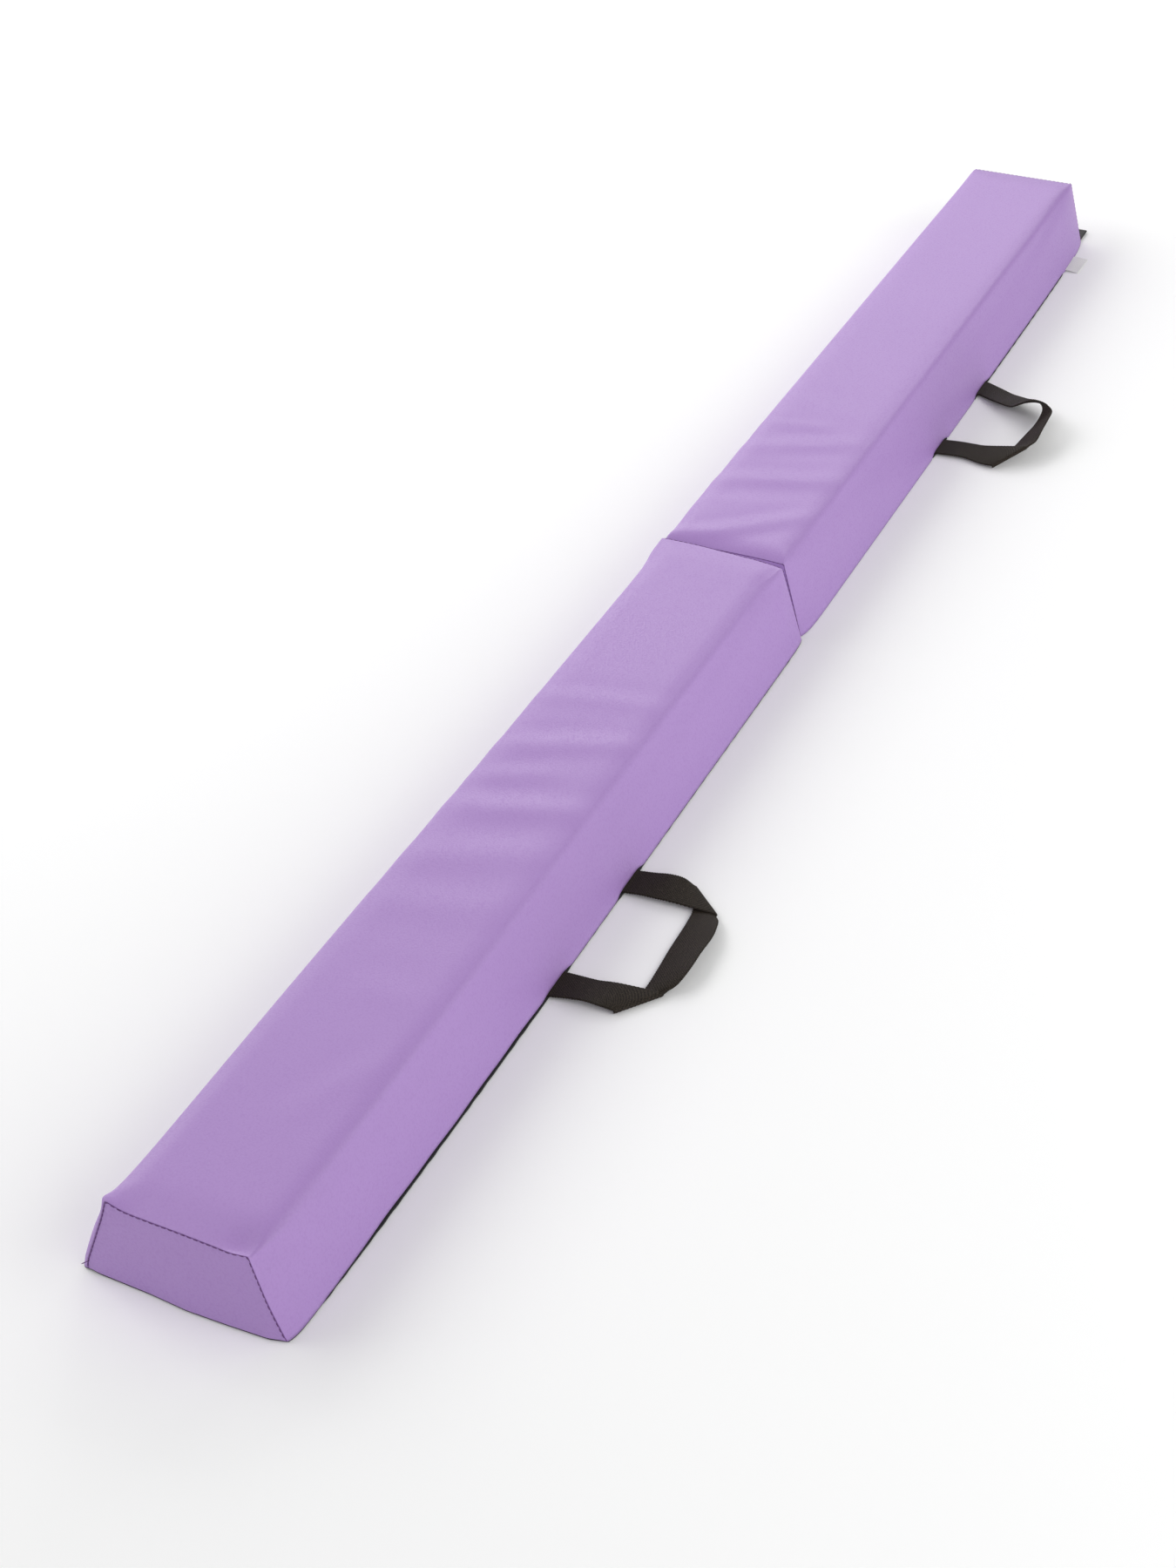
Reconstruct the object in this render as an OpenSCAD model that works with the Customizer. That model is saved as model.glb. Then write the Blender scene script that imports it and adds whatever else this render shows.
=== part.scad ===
// Folding floor balance beam for gymnastics practice.
// Two foam-filled halves in sewn covers fold base to base on a cloth hinge under the joint.
// Each half has one webbing carrying handle, and the far end has a hook-and-loop link flap.
// +X runs along the beam from the near end to the far end, +Z is up, and the origin is
// on the floor at the middle of the fold line. The handles are on the -Y side.

/* [Beam] */
// Length of the unfolded beam without its link flap
beam_len = 1800; // [1200:10:2400]
// Gap between the two halves at the fold
fold_gap = 5; // [3:0.5:10]
// Height of the walking surface above the floor
beam_h = 70; // [60:1:110]
// Width across the base at the middle of a half
base_w = 164; // [150:1:220]
// Width across the walking surface at the middle of a half
top_w = 114; // [90:1:120]

/* [Pull of the covers] */
// How far each side is drawn in at an outer end
outer_pull = 4.5; // [0:0.5:8]
// How far each side is drawn in at the fold
joint_pull = 1; // [0:0.5:8]

/* [Covers] */
// Thickness of the coated cover cloth
cover_t = 1.2; // [0.8:0.1:2]
// Outside radius of the two long soft edges
ridge_r = 8; // [4:0.5:12]

/* [Foam] */
// Height of the glue line between the two foam planks
glue_z = 36; // [25:1:45]
// Play between the foam and its cover
foam_play = 0.3; // [0.1:0.1:1]

/* [Base] */
// Thickness of the non-slip base cloth
base_t = 1.5; // [1.2:0.1:2.5]

/* [Cloth hinge] */
// Width of the hinge strip, across both halves
hinge_w = 50; // [30:1:80]
// Distance from each side of the base in to the hinge strip's ends
hinge_inset = 7; // [6:1:30]
// Thickness of the hinge strip
hinge_t = 0.8; // [0.5:0.1:1]

/* [Handles] */
// Distance of the near handle's middle from the fold
near_handle_x = 452; // [300:1:500]
// Distance of the far handle's middle from the fold
far_handle_x = 441; // [300:1:500]
// Width of the webbing
strap_w = 30; // [20:1:40]
// Thickness of the webbing
strap_t = 1.8; // [1.2:0.1:2.4]
// Distance between the middles of a handle's two legs
leg_pitch = 134; // [120:1:180]
// How far a handle reaches out from the seam
handle_reach = 90; // [80:1:120]
// Length of strap sewn inside the seam at each leg
tail_len = 14; // [8:1:25]

/* [Link flap] */
// Width of the flap across the beam
flap_w = 146; // [100:1:148]
// How far the flap reaches past the far end
flap_reach = 28; // [20:1:50]
// Thickness of the flap
flap_t = 1.2; // [0.8:0.1:2]
// Width of the hook strip on the flap and of the loop strip under the near end
tape_w = 20; // [12:1:25]
// Length of both strips across the beam
tape_len = 130; // [80:1:140]
// Thickness of both strips
tape_t = 0.9; // [0.5:0.1:1]
// Distance of the hook strip from the flap's free edge
hook_inset = 2; // [1:0.5:5]
// Distance of the loop strip from the near end
loop_inset = 6; // [3:1:30]

/* [Tag] */
// Width of the blank sewn-in tag along the beam
tag_w = 38; // [20:1:60]
// How far the tag stands out of the seam
tag_out = 12; // [6:1:30]
// Thickness of the tag
tag_t = 0.4; // [0.2:0.1:0.8]
// Distance of the tag's middle from the far end
tag_inset = 64; // [40:1:200]

/* [Fits] */
// Clearance round each strap and tab where it passes a seam
seam_play = 0.15; // [0.1:0.05:0.3]
// Clearance between a turning piece and its neighbour
turn_play = 0.3; // [0.2:0.05:0.5]

/* [Hidden] */
$fn = 48;

// A cutting solid reaches this far past the face that it cuts
over = 1;
// Sections along a half on each side of its middle, and steps round each soft edge
half_stations = 10;
ridge_steps = 5;
// Smallest inside radius of a soft edge
least_r = 1;
// Sharpness of the pull at the ends: a higher power keeps the middle straighter
pull_power = 6;
// Rings for each stretch of webbing, for half a turn at a fold, and for a rounded end
strap_steps = 3;
fold_steps = 6;
nose_steps = 3;

half_len = (beam_len - fold_gap) / 2;
side_run = (base_w - top_w) / 2;
side_slope = side_run / beam_h;
side_lean = atan(side_slope);
seam_y = base_w / 2;
hinge_len = base_w - 2 * hinge_inset;
knuckle_r = strap_t / 2;
// The strap bends about this line, just outside the seam
bend_v = knuckle_r + 2 * turn_play;
strap_z = base_t + knuckle_r;
tail_end = bend_v - knuckle_r - turn_play;
flap_knuckle = flap_t / 2;
flap_bend = flap_knuckle + 2 * turn_play;
flap_z = base_t + flap_knuckle;

purple = [0.66, 0.53, 0.79];
end_purple = [0.60, 0.47, 0.72];
foam_white = [0.93, 0.93, 0.90];
black = [0.10, 0.10, 0.11];
webbing_black = [0.13, 0.11, 0.10];
white = [0.96, 0.96, 0.95];

// ---- A half: sections drawn in the YZ plane at a share t from its outer end to the fold ----

// Position along the near half at the share t
function half_x(t) = -beam_len / 2 + t * half_len;
// How far the sides are drawn in there
function pull(t) =
    let (e = 2 * t - 1)
    (e < 0 ? outer_pull : joint_pull) * pow(abs(e), pull_power);
// Half the width at the height z, with the whole section set in by d
function half_width(t, z, d) =
    base_w / 2 - pull(t) - side_slope * z - d / cos(side_lean);
// Right half of the rounded top, from the side up to the walking surface
function ridge(t, d) =
    let (r = max(ridge_r - d, least_r), top = beam_h - d,
         y = half_width(t, top - r, d) - r / cos(side_lean))
    [for (k = [0 : ridge_steps])
        let (a = side_lean + (90 - side_lean) * k / ridge_steps)
        [y + r * cos(a), top - r + r * sin(a)]];
function mirrored(points) = [for (i = [len(points) - 1 : -1 : 0]) [-points[i][0], points[i][1]]];
// Closed section from the height low to the top
function crowned_section(t, d, low) =
    let (right = concat([[half_width(t, low, d), low]], ridge(t, d)))
    concat(right, mirrored(right));
// Closed section between two heights
function slab_section(t, d, low, high) =
    let (right = [[half_width(t, low, d), low], [half_width(t, high, d), high]])
    concat(right, mirrored(right));

// Shares from one end to the other, closer together towards both ends
function shares(first, last) =
    [for (k = [-half_stations : half_stations])
        first + (last - first) * (1 + sin(90 * k / half_stations)) / 2];

// A solid through rings of points. cap lists the faces that close a ring, as places in it.
module through_rings(rings, cap) {
    n = len(rings[0]);
    m = len(rings);
    points = [for (ring = rings) for (p = ring) p];
    sides = [for (i = [0 : m - 2]) for (j = [0 : n - 1])
        let (a = i * n + j, b = i * n + (j + 1) % n)
        each [[a, b + n, b], [a, a + n, b + n]]];
    start = cap;
    finish = [for (face = cap) [for (k = [len(face) - 1 : -1 : 0]) (m - 1) * n + face[k]]];
    polyhedron(points, concat(sides, start, finish));
}
// A convex ring closes with one face
function one_face(n) = [[for (k = [0 : n - 1]) k]];

module crowned_bar(d, low, first, last)
    through_rings([for (t = shares(first, last))
        [for (p = crowned_section(t, d, low)) [half_x(t), p[0], p[1]]]],
        one_face(len(crowned_section(0, d, low))));

module slab_bar(d, low, high, first, last)
    through_rings([for (t = shares(first, last))
        [for (p = slab_section(t, d, low, high)) [half_x(t), p[0], p[1]]]], one_face(4));

// The cloth of the given thickness over the top and both sides, open at the ends and below
module wrap_bar(thickness, low, first, last) {
    n = len(crowned_section(0, 0, low));
    through_rings([for (t = shares(first, last))
        let (skin = crowned_section(t, 0, low), lining = crowned_section(t, thickness, low))
        [for (p = concat(skin, [for (k = [n - 1 : -1 : 0]) lining[k]]))
            [half_x(t), p[0], p[1]]]],
        [for (k = [0 : n - 2]) [k, k + 1, 2 * n - 2 - k, 2 * n - 1 - k]]);
}

// Turns a near-half shape end for end, which makes it a far-half shape
module as_far() mirror([1, 0, 0]) children();

// ---- Seam openings that the sewn-in pieces pass through ----

// Space round both tails of a handle whose middle is at x
module tail_slots(x)
    for (side = [-1, 1])
        translate([x + side * leg_pitch / 2 - strap_w / 2 - seam_play,
                   -seam_y - over, base_t - over])
            cube([strap_w + 2 * seam_play, over + tail_len + seam_play,
                  over + strap_t + seam_play]);

// Space round the tab of the link flap
module tab_slot()
    translate([beam_len / 2 - tail_len - seam_play, -flap_w / 2 - seam_play, base_t - over])
        cube([tail_len + seam_play + over, flap_w + 2 * seam_play,
              over + flap_t + seam_play]);

// Space round the tag's sewn-in edge
module tag_slot()
    translate([beam_len / 2 - tag_inset - tag_w / 2 - seam_play, -seam_y - over,
               base_t - over])
        cube([tag_w + 2 * seam_play, over + tail_len + seam_play, over + tag_t + seam_play]);

// ---- Soft pieces of a half, drawn as the near half ----

end_share = cover_t / half_len;
foam_share = (cover_t + foam_play) / half_len;

module cover() wrap_bar(cover_t, base_t, end_share, 1 - end_share);

module end_panel(t)
    rotate([90, 0, 90])
        linear_extrude(cover_t)
            polygon(crowned_section(t, 0, base_t));

module outer_panel() translate([-beam_len / 2, 0, 0]) end_panel(0);
module joint_panel() translate([-fold_gap / 2 - cover_t, 0, 0]) end_panel(1);

module upper_foam() crowned_bar(cover_t + foam_play, glue_z, foam_share, 1 - foam_share);
module lower_foam() slab_bar(cover_t + foam_play, base_t, glue_z, foam_share, 1 - foam_share);

function base_side(side) =
    [for (t = shares(0, 1)) [half_x(t), side * (base_w / 2 - pull(t) - side_slope * base_t)]];

// Base cloth with its edge under the cover's edge, and a bed for the hinge strip
module base_cloth() difference() {
    linear_extrude(base_t)
        polygon(concat(base_side(-1),
                       [for (i = [2 * half_stations : -1 : 0]) base_side(1)[i]]));
    translate([-hinge_w / 2 - seam_play, -hinge_len / 2 - seam_play, -over])
        cube([hinge_w, hinge_len + 2 * seam_play, over + hinge_t]);
}

// ---- Near half ----

module near_cover() color(purple) difference() {
    cover();
    tail_slots(-near_handle_x);
}
module near_outer_panel() color(end_purple) outer_panel();
module near_joint_panel() color(purple) joint_panel();
module near_upper_foam() color(foam_white) upper_foam();
module near_lower_foam() color(foam_white) difference() {
    lower_foam();
    tail_slots(-near_handle_x);
}
module near_base() color(black) difference() {
    base_cloth();
    translate([-beam_len / 2 + loop_inset - seam_play, -tape_len / 2 - seam_play, -over])
        cube([tape_w + 2 * seam_play, tape_len + 2 * seam_play, over + tape_t]);
}
// The near leaf ends on the fold line
module near_hinge_leaf() color(black)
    translate([-hinge_w / 2, -hinge_len / 2, 0]) cube([hinge_w / 2, hinge_len, hinge_t]);
module near_loop_strip() color(webbing_black)
    translate([-beam_len / 2 + loop_inset, -tape_len / 2, 0])
        cube([tape_w, tape_len, tape_t]);

// ---- Far half ----

module far_cover() color(purple) difference() {
    as_far() cover();
    tail_slots(far_handle_x);
    tag_slot();
}
module far_outer_panel() color(end_purple) difference() {
    as_far() outer_panel();
    tab_slot();
}
module far_joint_panel() color(purple) as_far() joint_panel();
module far_upper_foam() color(foam_white) as_far() upper_foam();
module far_lower_foam() color(foam_white) difference() {
    as_far() lower_foam();
    tail_slots(far_handle_x);
    tab_slot();
    tag_slot();
}
module far_base() color(black) as_far() base_cloth();
module far_hinge_leaf() color(black)
    translate([turn_play, -hinge_len / 2, 0])
        cube([hinge_w / 2 - turn_play, hinge_len, hinge_t]);
module care_tag() color(white)
    translate([beam_len / 2 - tag_inset - tag_w / 2, -seam_y - tag_out, base_t])
        cube([tag_w, tag_out + tail_len, tag_t]);

// ---- Webbing handles: one strap each, with both ends sewn into the bottom seam ----
// A ruling is a straight line across the strap, [first edge, second edge]. Each edge point
// is [along the beam from the handle's middle, out from the seam, up].

outer_u = leg_pitch / 2 + strap_w / 2;
inner_u = leg_pitch / 2 - strap_w / 2;
// The grip's inner and outer sides when it lies flat
grip_v = handle_reach - strap_w;
rim_v = handle_reach;

// Smooth rulings through the given ones
function eased(rows) = concat(
    [for (i = [0 : len(rows) - 2]) for (k = [0 : strap_steps - 1])
        let (p0 = rows[max(i - 1, 0)], p1 = rows[i], p2 = rows[i + 1],
             p3 = rows[min(i + 2, len(rows) - 1)], s = k / strap_steps)
        0.5 * (2 * p1 + s * (p2 - p0) + s * s * (2 * p0 - 5 * p1 + 4 * p2 - p3)
               + s * s * s * (3 * p1 - p0 - 3 * p2 + p3))],
    [rows[len(rows) - 1]]);

// Half a turn about the crease from a to b, between two heights, both higher by rise at b.
// side is 1 where the strap lies to the right of the crease and -1 where it lies to the left.
function fold_over(a, b, from_z, to_z, side, rise = 0) =
    let (d = (b - a) / norm(b - a), out = side * [-d[1], d[0]],
         r = (from_z - to_z) / 2, z = (from_z + to_z) / 2)
    [for (k = [0 : fold_steps])
        let (angle = 90 - 180 * k / fold_steps,
             shift = abs(r) * cos(angle) * out, up = z + r * sin(angle))
        [[a[0] + shift[0], a[1] + shift[1], up],
         [b[0] + shift[0], b[1] + shift[1], up + rise]]];

// A share of the webbing's width
function w(share) = share * strap_w;

// Near handle: both corners are folded on the diagonal, with the legs on top of the grip
near_fold_1 = fold_over([-outer_u + w(0.07), grip_v - w(0.33)],
                        [-inner_u + w(0.17), grip_v + w(0.52)], w(0.19), w(0.07), 1);
near_fold_2 = fold_over([outer_u - w(0.10), grip_v - w(0.40)],
                        [inner_u + w(0.03), grip_v + w(0.55)], w(0.07), w(0.19), -1);
near_leg_1 = [
    [[-outer_u, bend_v, strap_z], [-inner_u, bend_v, strap_z]],
    [[-outer_u + w(0.02), 0.14 * rim_v, w(0.15)], [-inner_u, 0.14 * rim_v, w(0.09)]],
    [[-outer_u + w(0.03), 0.30 * rim_v, w(0.22)], [-inner_u, 0.30 * rim_v, w(0.11)]],
    [[-outer_u + w(0.02), 0.43 * rim_v, w(0.21)],
     [-inner_u + w(0.05), 0.47 * rim_v, w(0.16)]],
    near_fold_1[0]];
near_grip = [
    near_fold_1[fold_steps],
    [[-inner_u - w(0.33), grip_v - w(0.12), w(0.06)],
     [-inner_u + w(0.29), rim_v - w(0.37), w(0.16)]],
    [[-inner_u + w(0.20), grip_v + w(0.02), w(0.06)],
     [-inner_u + w(0.50), rim_v - w(0.21), w(0.27)]],
    [[-w(0.67), grip_v + w(0.01), w(0.06)], [-w(0.70), rim_v - w(0.11), w(0.38)]],
    [[0, grip_v - w(0.02), w(0.06)], [-w(0.03), rim_v - w(0.11), w(0.37)]],
    [[w(0.67), grip_v - w(0.03), w(0.06)], [w(0.63), rim_v - w(0.10), w(0.33)]],
    [[inner_u - w(0.50), grip_v - w(0.04), w(0.06)],
     [inner_u - w(0.67), rim_v - w(0.16), w(0.27)]],
    [[inner_u + w(0.07), grip_v - w(0.10), w(0.06)],
     [inner_u - w(0.23), rim_v - w(0.28), w(0.17)]],
    near_fold_2[0]];
near_leg_2 = [
    near_fold_2[fold_steps],
    [[outer_u - w(0.03), 0.43 * rim_v, w(0.25)], [inner_u, 0.46 * rim_v, w(0.18)]],
    [[outer_u - w(0.02), 0.30 * rim_v, w(0.25)], [inner_u, 0.30 * rim_v, w(0.16)]],
    [[outer_u - w(0.01), 0.15 * rim_v, w(0.15)], [inner_u, 0.15 * rim_v, w(0.14)]],
    [[outer_u, bend_v, strap_z], [inner_u, bend_v, strap_z]]];

// Far handle: one corner is folded, and its crease climbs off the floor towards its outer
// end. At the other corner the strap rises and rolls over in an open turn. The outer edge
// stays up along the grip.
far_fold = fold_over([-outer_u - w(0.20), grip_v - w(0.07)],
                     [-inner_u - w(0.30), grip_v + w(0.80)], w(0.14), w(0.07), 1, w(0.45));
far_leg_1 = [
    [[-outer_u, bend_v, strap_z], [-inner_u, bend_v, strap_z]],
    [[-outer_u + w(0.03), 0.17 * rim_v, w(0.10)], [-inner_u, 0.17 * rim_v, w(0.12)]],
    [[-outer_u + w(0.03), 0.32 * rim_v, w(0.10)],
     [-inner_u - w(0.07), 0.33 * rim_v, w(0.17)]],
    [[-outer_u - w(0.13), 0.50 * rim_v, w(0.10)],
     [-inner_u - w(0.15), 0.49 * rim_v, w(0.25)]],
    far_fold[0]];
far_grip = [
    far_fold[fold_steps],
    [[-inner_u - w(0.47), grip_v + w(0.04), w(0.06)],
     [-inner_u - w(0.13), rim_v - w(0.13), w(0.57)]],
    [[-inner_u + w(0.37), grip_v + w(0.18), w(0.06)],
     [-inner_u + w(0.20), rim_v - w(0.02), w(0.60)]],
    [[-w(0.83), grip_v + w(0.25), w(0.07)], [-w(0.93), rim_v, w(0.73)]],
    [[-w(0.23), grip_v + w(0.32), w(0.07)], [-w(0.27), rim_v, w(0.80)]],
    [[w(0.27), grip_v + w(0.37), w(0.06)], [w(0.17), rim_v - w(0.03), w(0.85)]],
    [[w(0.73), grip_v + w(0.40), w(0.07)], [w(0.37), rim_v - w(0.27), w(0.93)]],
    [[w(1.10), grip_v + w(0.53), w(0.15)], [w(0.48), rim_v - w(0.50), w(0.94)]],
    [[inner_u - w(0.37), grip_v + w(0.55), w(0.30)], [w(0.60), rim_v - w(0.71), w(0.88)]],
    [[inner_u - w(0.20), grip_v + w(0.35), w(0.34)], [w(0.69), rim_v - w(0.97), w(0.78)]],
    [[inner_u - w(0.08), grip_v + w(0.03), w(0.33)], [w(0.75), 0.57 * rim_v, w(0.57)]],
    [[inner_u + w(0.03), 0.59 * rim_v, w(0.26)], [w(0.87), 0.46 * rim_v, w(0.33)]],
    [[inner_u + w(0.20), 0.49 * rim_v, w(0.19)], [w(1.10), 0.31 * rim_v, w(0.25)]],
    [[inner_u + w(0.47), 0.36 * rim_v, w(0.09)], [inner_u - w(0.33), 0.16 * rim_v, w(0.17)]],
    [[inner_u + w(0.73), 0.21 * rim_v, w(0.07)], [inner_u - w(0.13), 0.07 * rim_v, w(0.12)]],
    [[outer_u, bend_v, strap_z], [inner_u, bend_v, strap_z]]];

near_rulings = concat(eased(near_leg_1), near_fold_1, eased(near_grip), near_fold_2,
                      eased(near_leg_2));
far_rulings = concat(eased(far_leg_1), far_fold, eased(far_grip));

// The rulings without those that repeat the one before
function distinct(rows) =
    [for (i = [0 : len(rows) - 1])
        if (i == 0 || norm(rows[i][0] - rows[i - 1][0]) > 0.01
                   || norm(rows[i][1] - rows[i - 1][1]) > 0.01) rows[i]];

function in_place(p, x) = [x + p[0], -seam_y - p[1], p[2]];

// Webbing of the full thickness laid along the rulings. Both ends are rounded about their
// first ruling, which is the line that the handle turns on.
module webbing(rulings, x) {
    rows = [for (row = distinct(rulings)) [in_place(row[0], x), in_place(row[1], x)]];
    mids = [for (row = rows) (row[0] + row[1]) / 2];
    last = len(rows) - 1;
    aims = [for (i = [0 : last])
        let (along = mids[min(i + 1, last)] - mids[max(i - 1, 0)]) along / norm(along)];
    lifts = [for (i = [0 : last])
        let (square = cross(aims[i], rows[i][1] - rows[i][0])) square / norm(square) * knuckle_r];
    through_rings(concat(
        [for (k = [nose_steps : -1 : 1]) strap_ring(rows[0], lifts[0], -aims[0], k)],
        [for (i = [0 : last]) strap_ring(rows[i], lifts[i], aims[i], 0)],
        [for (k = [1 : nose_steps]) strap_ring(rows[last], lifts[last], aims[last], k)]),
        one_face(4));
}
// Four corners round a ruling. Towards a rounded end the ring moves on by the step k and thins.
function strap_ring(row, lift, onward, k) =
    let (angle = 75 * k / nose_steps, up = lift * cos(angle),
         shift = onward * knuckle_r * sin(angle))
    [row[0] - up + shift, row[1] - up + shift, row[1] + up + shift, row[0] + up + shift];

module tails(x)
    for (side = [-1, 1])
        translate([x + side * leg_pitch / 2 - strap_w / 2, -seam_y - tail_end, base_t])
            cube([strap_w, tail_end + tail_len, strap_t]);

module near_handle() color(webbing_black) webbing(near_rulings, -near_handle_x);
module near_handle_tails() color(webbing_black) tails(-near_handle_x);
module far_handle() color(webbing_black) webbing(far_rulings, far_handle_x);
module far_handle_tails() color(webbing_black) tails(far_handle_x);

// ---- Link flap: slips under the near end of the next beam ----

module link_tab() color(black)
    translate([beam_len / 2 - tail_len, -flap_w / 2, base_t])
        cube([tail_len + flap_bend - flap_knuckle - turn_play, flap_w, flap_t]);
module link_flap() color(black) {
    translate([beam_len / 2 + flap_bend, -flap_w / 2, base_t])
        cube([flap_reach - flap_bend, flap_w, flap_t]);
    translate([beam_len / 2 + flap_bend, 0, flap_z])
        rotate([90, 0, 0]) cylinder(h = flap_w, r = flap_knuckle, center = true);
}
module hook_strip() color(webbing_black)
    translate([beam_len / 2 + flap_reach - tape_w - hook_inset, -tape_len / 2, base_t + flap_t])
        cube([tape_w, tape_len, tape_t]);

near_cover();
near_outer_panel();
near_joint_panel();
near_upper_foam();
near_lower_foam();
near_base();
near_hinge_leaf();
near_loop_strip();
near_handle_tails();
near_handle();
far_cover();
far_outer_panel();
far_joint_panel();
far_upper_foam();
far_lower_foam();
far_base();
far_hinge_leaf();
far_handle_tails();
far_handle();
link_tab();
link_flap();
hook_strip();
care_tag();
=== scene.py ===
import math

import bpy
import numpy as np
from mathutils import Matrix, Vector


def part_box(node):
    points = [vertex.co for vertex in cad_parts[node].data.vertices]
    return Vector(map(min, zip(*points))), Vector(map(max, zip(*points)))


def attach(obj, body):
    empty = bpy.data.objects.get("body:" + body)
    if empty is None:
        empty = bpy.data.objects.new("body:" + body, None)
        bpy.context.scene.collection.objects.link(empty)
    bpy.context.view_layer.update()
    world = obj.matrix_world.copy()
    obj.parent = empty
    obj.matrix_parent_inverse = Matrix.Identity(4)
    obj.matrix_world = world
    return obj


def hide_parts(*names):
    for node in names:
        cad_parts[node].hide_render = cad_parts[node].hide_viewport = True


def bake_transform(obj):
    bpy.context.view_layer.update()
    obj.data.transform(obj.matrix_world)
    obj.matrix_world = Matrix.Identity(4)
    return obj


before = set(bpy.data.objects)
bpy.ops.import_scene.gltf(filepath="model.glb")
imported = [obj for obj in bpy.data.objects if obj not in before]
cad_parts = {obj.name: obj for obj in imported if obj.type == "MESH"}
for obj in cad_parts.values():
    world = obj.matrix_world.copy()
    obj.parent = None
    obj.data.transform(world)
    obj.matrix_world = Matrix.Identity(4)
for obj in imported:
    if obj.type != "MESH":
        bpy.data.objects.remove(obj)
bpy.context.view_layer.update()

# ---- Camera ----
# A long lens looks along the beam from above its near end, a little from the handles' side.

camera_data = bpy.data.cameras.new("camera")
camera_data.lens = 59.92
camera_data.sensor_width = 36.0
camera = bpy.data.objects.new("camera", camera_data)
camera.location = (-1.84094, -0.73449, 1.25104)
camera.rotation_euler = [math.radians(turn) for turn in (54.0988, 0.9626, -65.4032)]
bpy.context.collection.objects.link(camera)
bpy.context.scene.camera = camera

# ---- Studio ----
# A seamless white floor, with a trace of its own light, under an even pale sky. Broad soft
# lights stand all round, the strongest on the side away from the handles.


def new_material(name, colour, roughness):
    """A material with its node tree and its Principled shader."""
    made = bpy.data.materials.new(name)
    made.use_nodes = True
    shader = made.node_tree.nodes["Principled BSDF"]
    shader.inputs["Base Color"].default_value = (*colour, 1)
    shader.inputs["Roughness"].default_value = roughness
    return made, made.node_tree, shader


floor_white, _, floor_shader = new_material("floor_white", (0.96, 0.96, 0.96), 0.9)
floor_shader.inputs["Specular IOR Level"].default_value = 0.0
floor_shader.inputs["Emission Color"].default_value = (0.97, 1.0, 0.96, 1)
floor_shader.inputs["Emission Strength"].default_value = 0.035
floor_half, floor_z = 8.0, -0.0002
floor_mesh = bpy.data.meshes.new("floor")
floor_mesh.from_pydata([(x * floor_half, y * floor_half, floor_z)
                        for x, y in ((-1, -1), (1, -1), (1, 1), (-1, 1))], [], [(0, 1, 2, 3)])
floor_mesh.materials.append(floor_white)
floor = bpy.data.objects.new("floor", floor_mesh)
bpy.context.collection.objects.link(floor)

sky = bpy.data.worlds.new("sky")
sky.use_nodes = True
sky.node_tree.nodes["Background"].inputs["Color"].default_value = (1, 1, 1, 1)
sky.node_tree.nodes["Background"].inputs["Strength"].default_value = 0.1
bpy.context.scene.world = sky
bpy.context.scene.view_settings.view_transform = "Standard"

softboxes = {"back_left": ((-0.7, 2.1, 1.7), 34.0), "back_low": ((0.9, 1.6, 0.9), 24.0),
             "far_end": ((2.8, 0.5, 1.4), 30.0), "front_left": ((-1.2, -2.0, 1.3), 23.5),
             "front_low": ((0.3, -1.4, 0.8), 15.6), "over_near": ((-1.6, 0.6, 2.2), 6.0),
             "near_low": ((-2.6, 0.2, 0.35), 9.0)}
for name, (place, watts) in softboxes.items():
    softbox_data = bpy.data.lights.new(name, "AREA")
    softbox_data.shape = "RECTANGLE"
    softbox_data.size, softbox_data.size_y = 2.6, 1.6
    softbox_data.energy = watts
    softbox = bpy.data.objects.new(name, softbox_data)
    softbox.location = place
    softbox.rotation_euler = (-softbox.location).to_track_quat("-Z", "Y").to_euler()
    bpy.context.collection.objects.link(softbox)

# ---- Covers ----
# Each half is one coat of coated cloth with a fine pebble grain, drawn tight over foam: a
# wrap over the top and both sides, and a panel sewn in at each end. The wrap rolls down to
# the end seams and has slack creases across the walking surface.

MM = 0.001
beam_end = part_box("far_outer_panel")[1].x
fold_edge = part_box("far_joint_panel")[0].x
top_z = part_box("near_cover")[1].z
hem_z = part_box("near_cover")[0].z
half_len = beam_end - fold_edge
base_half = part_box("near_base")[1].y + 0.5 * MM
ridge_half = 57 * MM
ridge_r = 8 * MM
strap_legs, leg_half = {}, 15 * MM
for half in ("near", "far"):
    low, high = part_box(f"{half}_handle_tails")
    strap_legs[half] = (low.x + leg_half, high.x - leg_half)

# Cells round a section: up a side, round a soft edge, and over the top
side_cells, ridge_cells, top_cells = 12, 4, 18
cap_up = side_cells + ridge_cells // 2
cap_over = top_cells + ridge_cells
ring_n = 2 * (cap_up + cap_over)

# Two rings start each end panel, inside its seam
panel_insets = np.array([3.0, 1.0]) * MM
seam_ring = len(panel_insets)


def ease(t):
    """0 to 1, smoothly."""
    t = np.clip(t, 0.0, 1.0)
    return t * t * (3 - 2 * t)


def hump(x, middle, width):
    """1 at the middle, dying away over the width."""
    return np.exp(-((x - middle) / width) ** 2)


def turned_in(s, r):
    """How far a corner of the radius r has turned in at the distance s from its seam."""
    return r * (1 - np.sqrt(1 - np.clip(1 - s / r, 0, 1) ** 2))


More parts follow.
